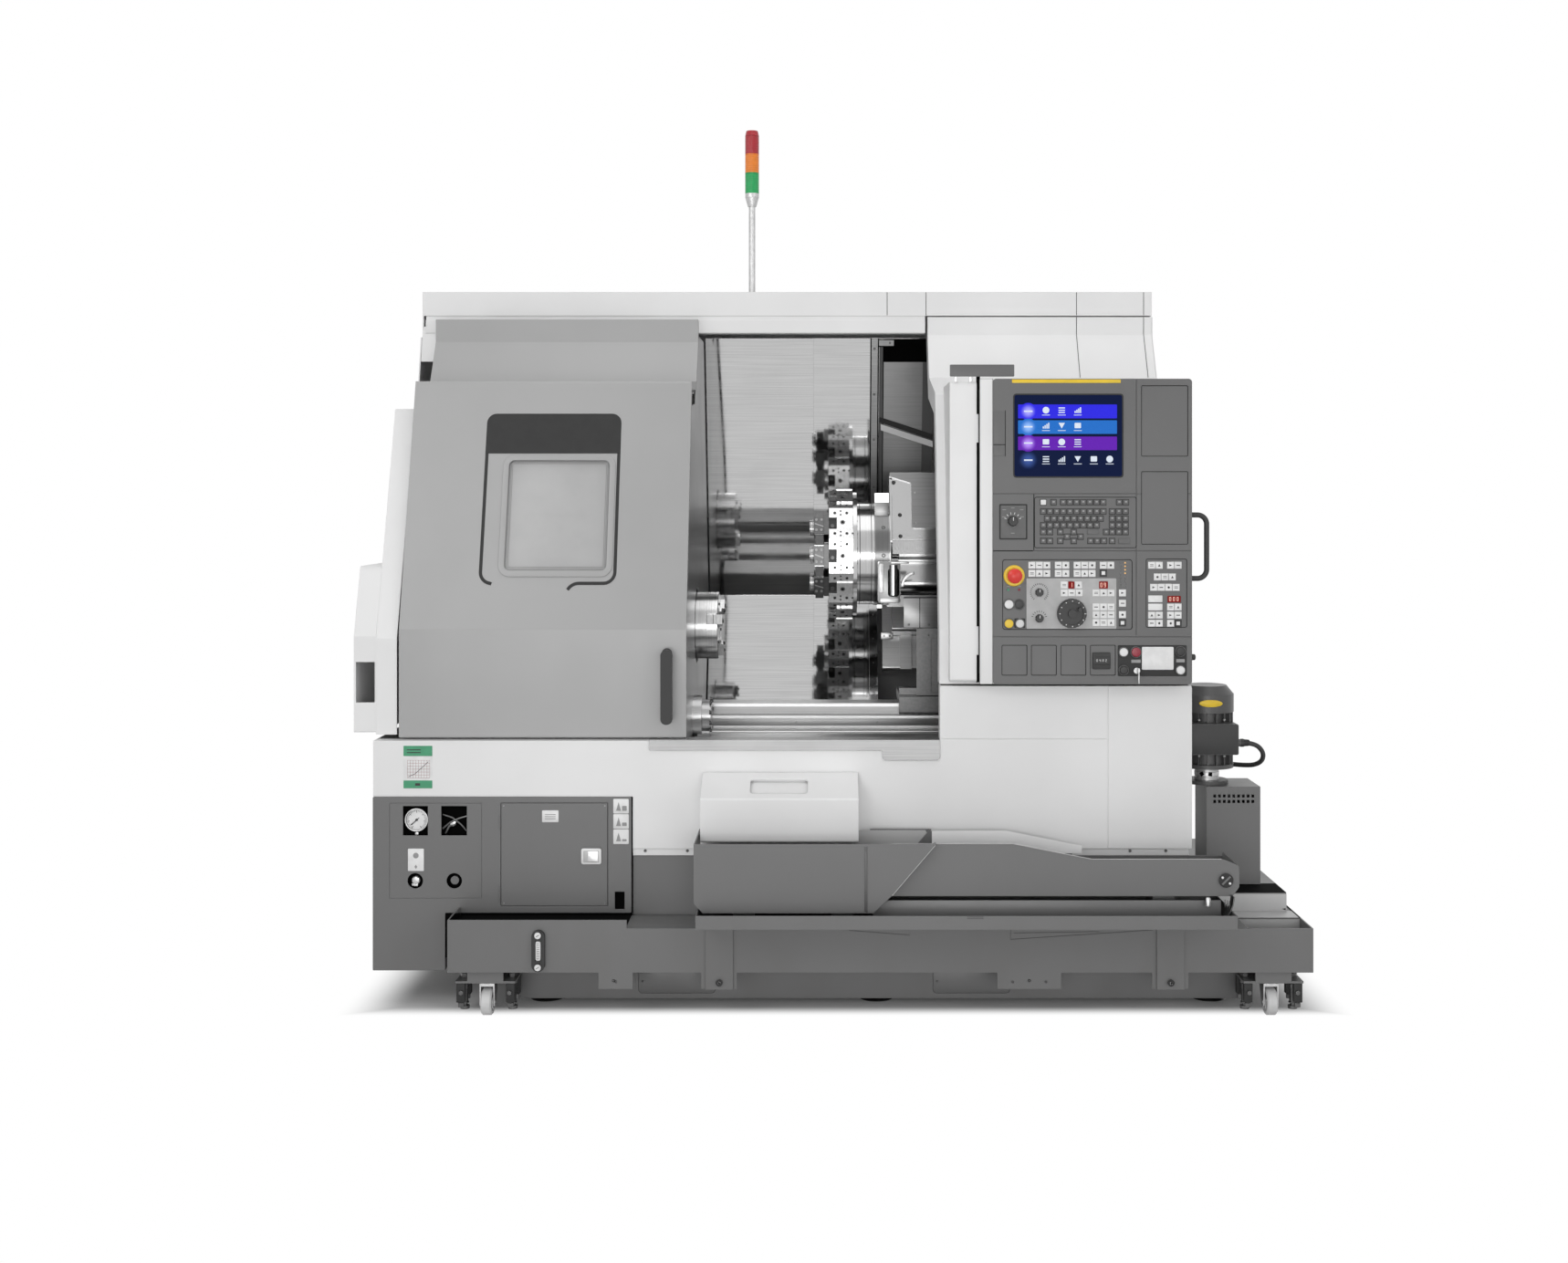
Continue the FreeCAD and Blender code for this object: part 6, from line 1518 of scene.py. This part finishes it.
def pumpPieces():
    x, y = pump["centre"]
    fins = Blank()
    profile = ((58, -1.3), (64.5, -0.9), (64.5, 0.9), (58, 1.3))
    for step in range(pump["fins"]):
        angle = 2 * math.pi * step / pump["fins"]
        if math.cos(angle) > pump["finFree"]:
            continue
        out = Vector((math.cos(angle), math.sin(angle), 0))
        across = Vector((-math.sin(angle), math.cos(angle), 0))
        fins.prism(*[[Vector((x, y, z)) + out * reach + across * side for reach, side in profile]
                     for z in (668, 832)])
    fins.finish("motor_fins", "machine", "motorPaint")
    angles = [2 * math.pi * step / 40 for step in range(40)]
    oval = [(x - 4 + 34 * math.cos(angle), 839 + 10.5 * math.sin(angle)) for angle in angles]
    Blank().plate(oval, (y - 80.5, y - 68), 0.8).finish("motor_oval", "machine", "yellow")
    disc = Blank().disc((x - 1, y - 97.8, 717), toFront, 13, 0.8, 0.2, 36)
    disc.finish("terminal_disc", "machine", "labelWhite")
    pads("terminal_lid", "machine", "black", [((x - 71, x + 71), (693, 779), 5)], (y - 99.2, y - 97.4), 0.7)
    screws("motor_tie_screws", "machine", [(x + side, y - 71.5, z) for side in (-37, 37) for z in (790, 684)],
           4.2, 6, finish="zinc")
    lathes("pump_coupling", "machine", "zinc", [(x, y, 606)], toTop, [
        (0, 34.6), (0, 36.4), (8, 36.4), (9, 35.2), (12, 35.2), (13, 36.4), (24, 36.4), (25, 35.2),
        (28, 35.2), (29, 36.4), (37, 36.4), (37, 34.6), (0, 34.6)], 48)
    windows = Blank()
    for turn in (-125, -85):
        out = Vector((math.cos(math.radians(turn)), math.sin(math.radians(turn)), 0))
        windows.lathe(Vector((x, y, 625)) + out * 35.2, out, stub(8, 1.6), 4)
    windows.finish("coupling_windows", "machine", "deep")


tankPieces()
casterPieces()
conveyorPieces()
pumpPieces()
print("base details done")


# camera, lamps (place, aim, size, power) and floor
view = {"place": (0.0, -5.665, 1.445), "lens": 40.77, "sensor": 36.0, "shift": (-0.0256, -0.0856)}
studioLamps = {
    "key": ((-3.2, -5.0, 4.2), (0, -0.3, 1.0), (3.2, 2.4), 58),
    "fill": ((3.6, -5.2, 2.2), (0, -0.3, 0.9), (3.0, 3.0), 36),
    "low": ((-0.4, -7.2, 0.9), (0, -0.6, 0.6), (4.4, 1.6), 100),
    "top": ((0, -1.0, 5.2), (0, 0, 1.0), (4.5, 3.0), 44),
}
# the floor's shadow stays inside an outline round the part and fades out over a short way
floorSize = {"half": 30, "level": -0.0005, "middle": (0.06, -0.01), "reach": (1.24, 0.61), "squash": 1.9,
             "fade": 0.19}


def makeCamera():
    data = bpy.data.cameras.new("camera")
    data.lens = view["lens"]
    data.sensor_width = view["sensor"]
    data.shift_x, data.shift_y = view["shift"]
    data.clip_end = 100
    camera = bpy.data.objects.new("camera", data)
    camera.location = view["place"]
    camera.rotation_euler = (math.pi / 2, 0, 0)
    bpy.context.scene.collection.objects.link(camera)
    bpy.context.scene.camera = camera


def shownRays(wire):
    # rays from the camera, off a mirror or through a pane
    seen, glossy, through = [wire.node("ShaderNodeLightPath", output=index) for index in (0, 3, 6)]
    return wire.math("MAXIMUM", wire.math("MAXIMUM", seen, glossy), through)


def makeFloor():
    half, level = floorSize["half"], floorSize["level"]
    data = bpy.data.meshes.new("floor")
    data.from_pydata([(x, y, level) for x, y in box(-half, half, -half, half)], [], [(0, 1, 2, 3)])
    floor = bpy.data.objects.new("floor", data)
    bpy.context.scene.collection.objects.link(floor)
    finish, shader, place, wire = newFinish("pale_floor", Base_Color=(0.62, 0.62, 0.62, 1), Roughness=0.9)
    middle, size = floorSize["middle"], floorSize["reach"]
    across, deep = [(place.part(axis) - middle[axis]).plain("ABSOLUTE") - size[axis] for axis in (0, 1)]
    reach = wire.math("MAXIMUM", across, deep * floorSize["squash"])
    white = wire.node("ShaderNodeEmission", {}, {"Strength": 1.0})
    share = shownRays(wire) * (reach.fade(0.0, floorSize["fade"]) * 0.97 + 0.03)
    mixed = wire.node("ShaderNodeMixShader", {}, {0: share, 1: Wire(wire.tree, shader.outputs[0]), 2: white})
    wire.tree.links.new(mixed.socket, wire.tree.nodes["Material Output"].inputs["Surface"])
    data.materials.append(finish)


def makeLamp(name, place, aim, size, power):
    data = bpy.data.lights.new(name, "AREA")
    data.shape = "RECTANGLE"
    data.size, data.size_y = size
    data.energy = power
    lamp = bpy.data.objects.new(name, data)
    lamp.location = place
    lamp.rotation_euler = (Vector(aim) - Vector(place)).to_track_quat("-Z", "Y").to_euler()
    bpy.context.scene.collection.objects.link(lamp)


def makeStudio():
    world = bpy.data.worlds.new("studio")
    bpy.context.scene.world = world
    world.use_nodes = True
    background = world.node_tree.nodes["Background"]
    background.inputs["Color"].default_value = (1, 1, 1, 1)
    strength = shownRays(Wire(world.node_tree)) * 0.55 + 0.45
    world.node_tree.links.new(strength.socket, background.inputs["Strength"])
    for name, values in studioLamps.items():
        makeLamp(name, *values)
    bpy.context.scene.view_settings.view_transform = "Standard"


makeCamera()
makeFloor()
makeStudio()
print("camera, floor and lamps done")
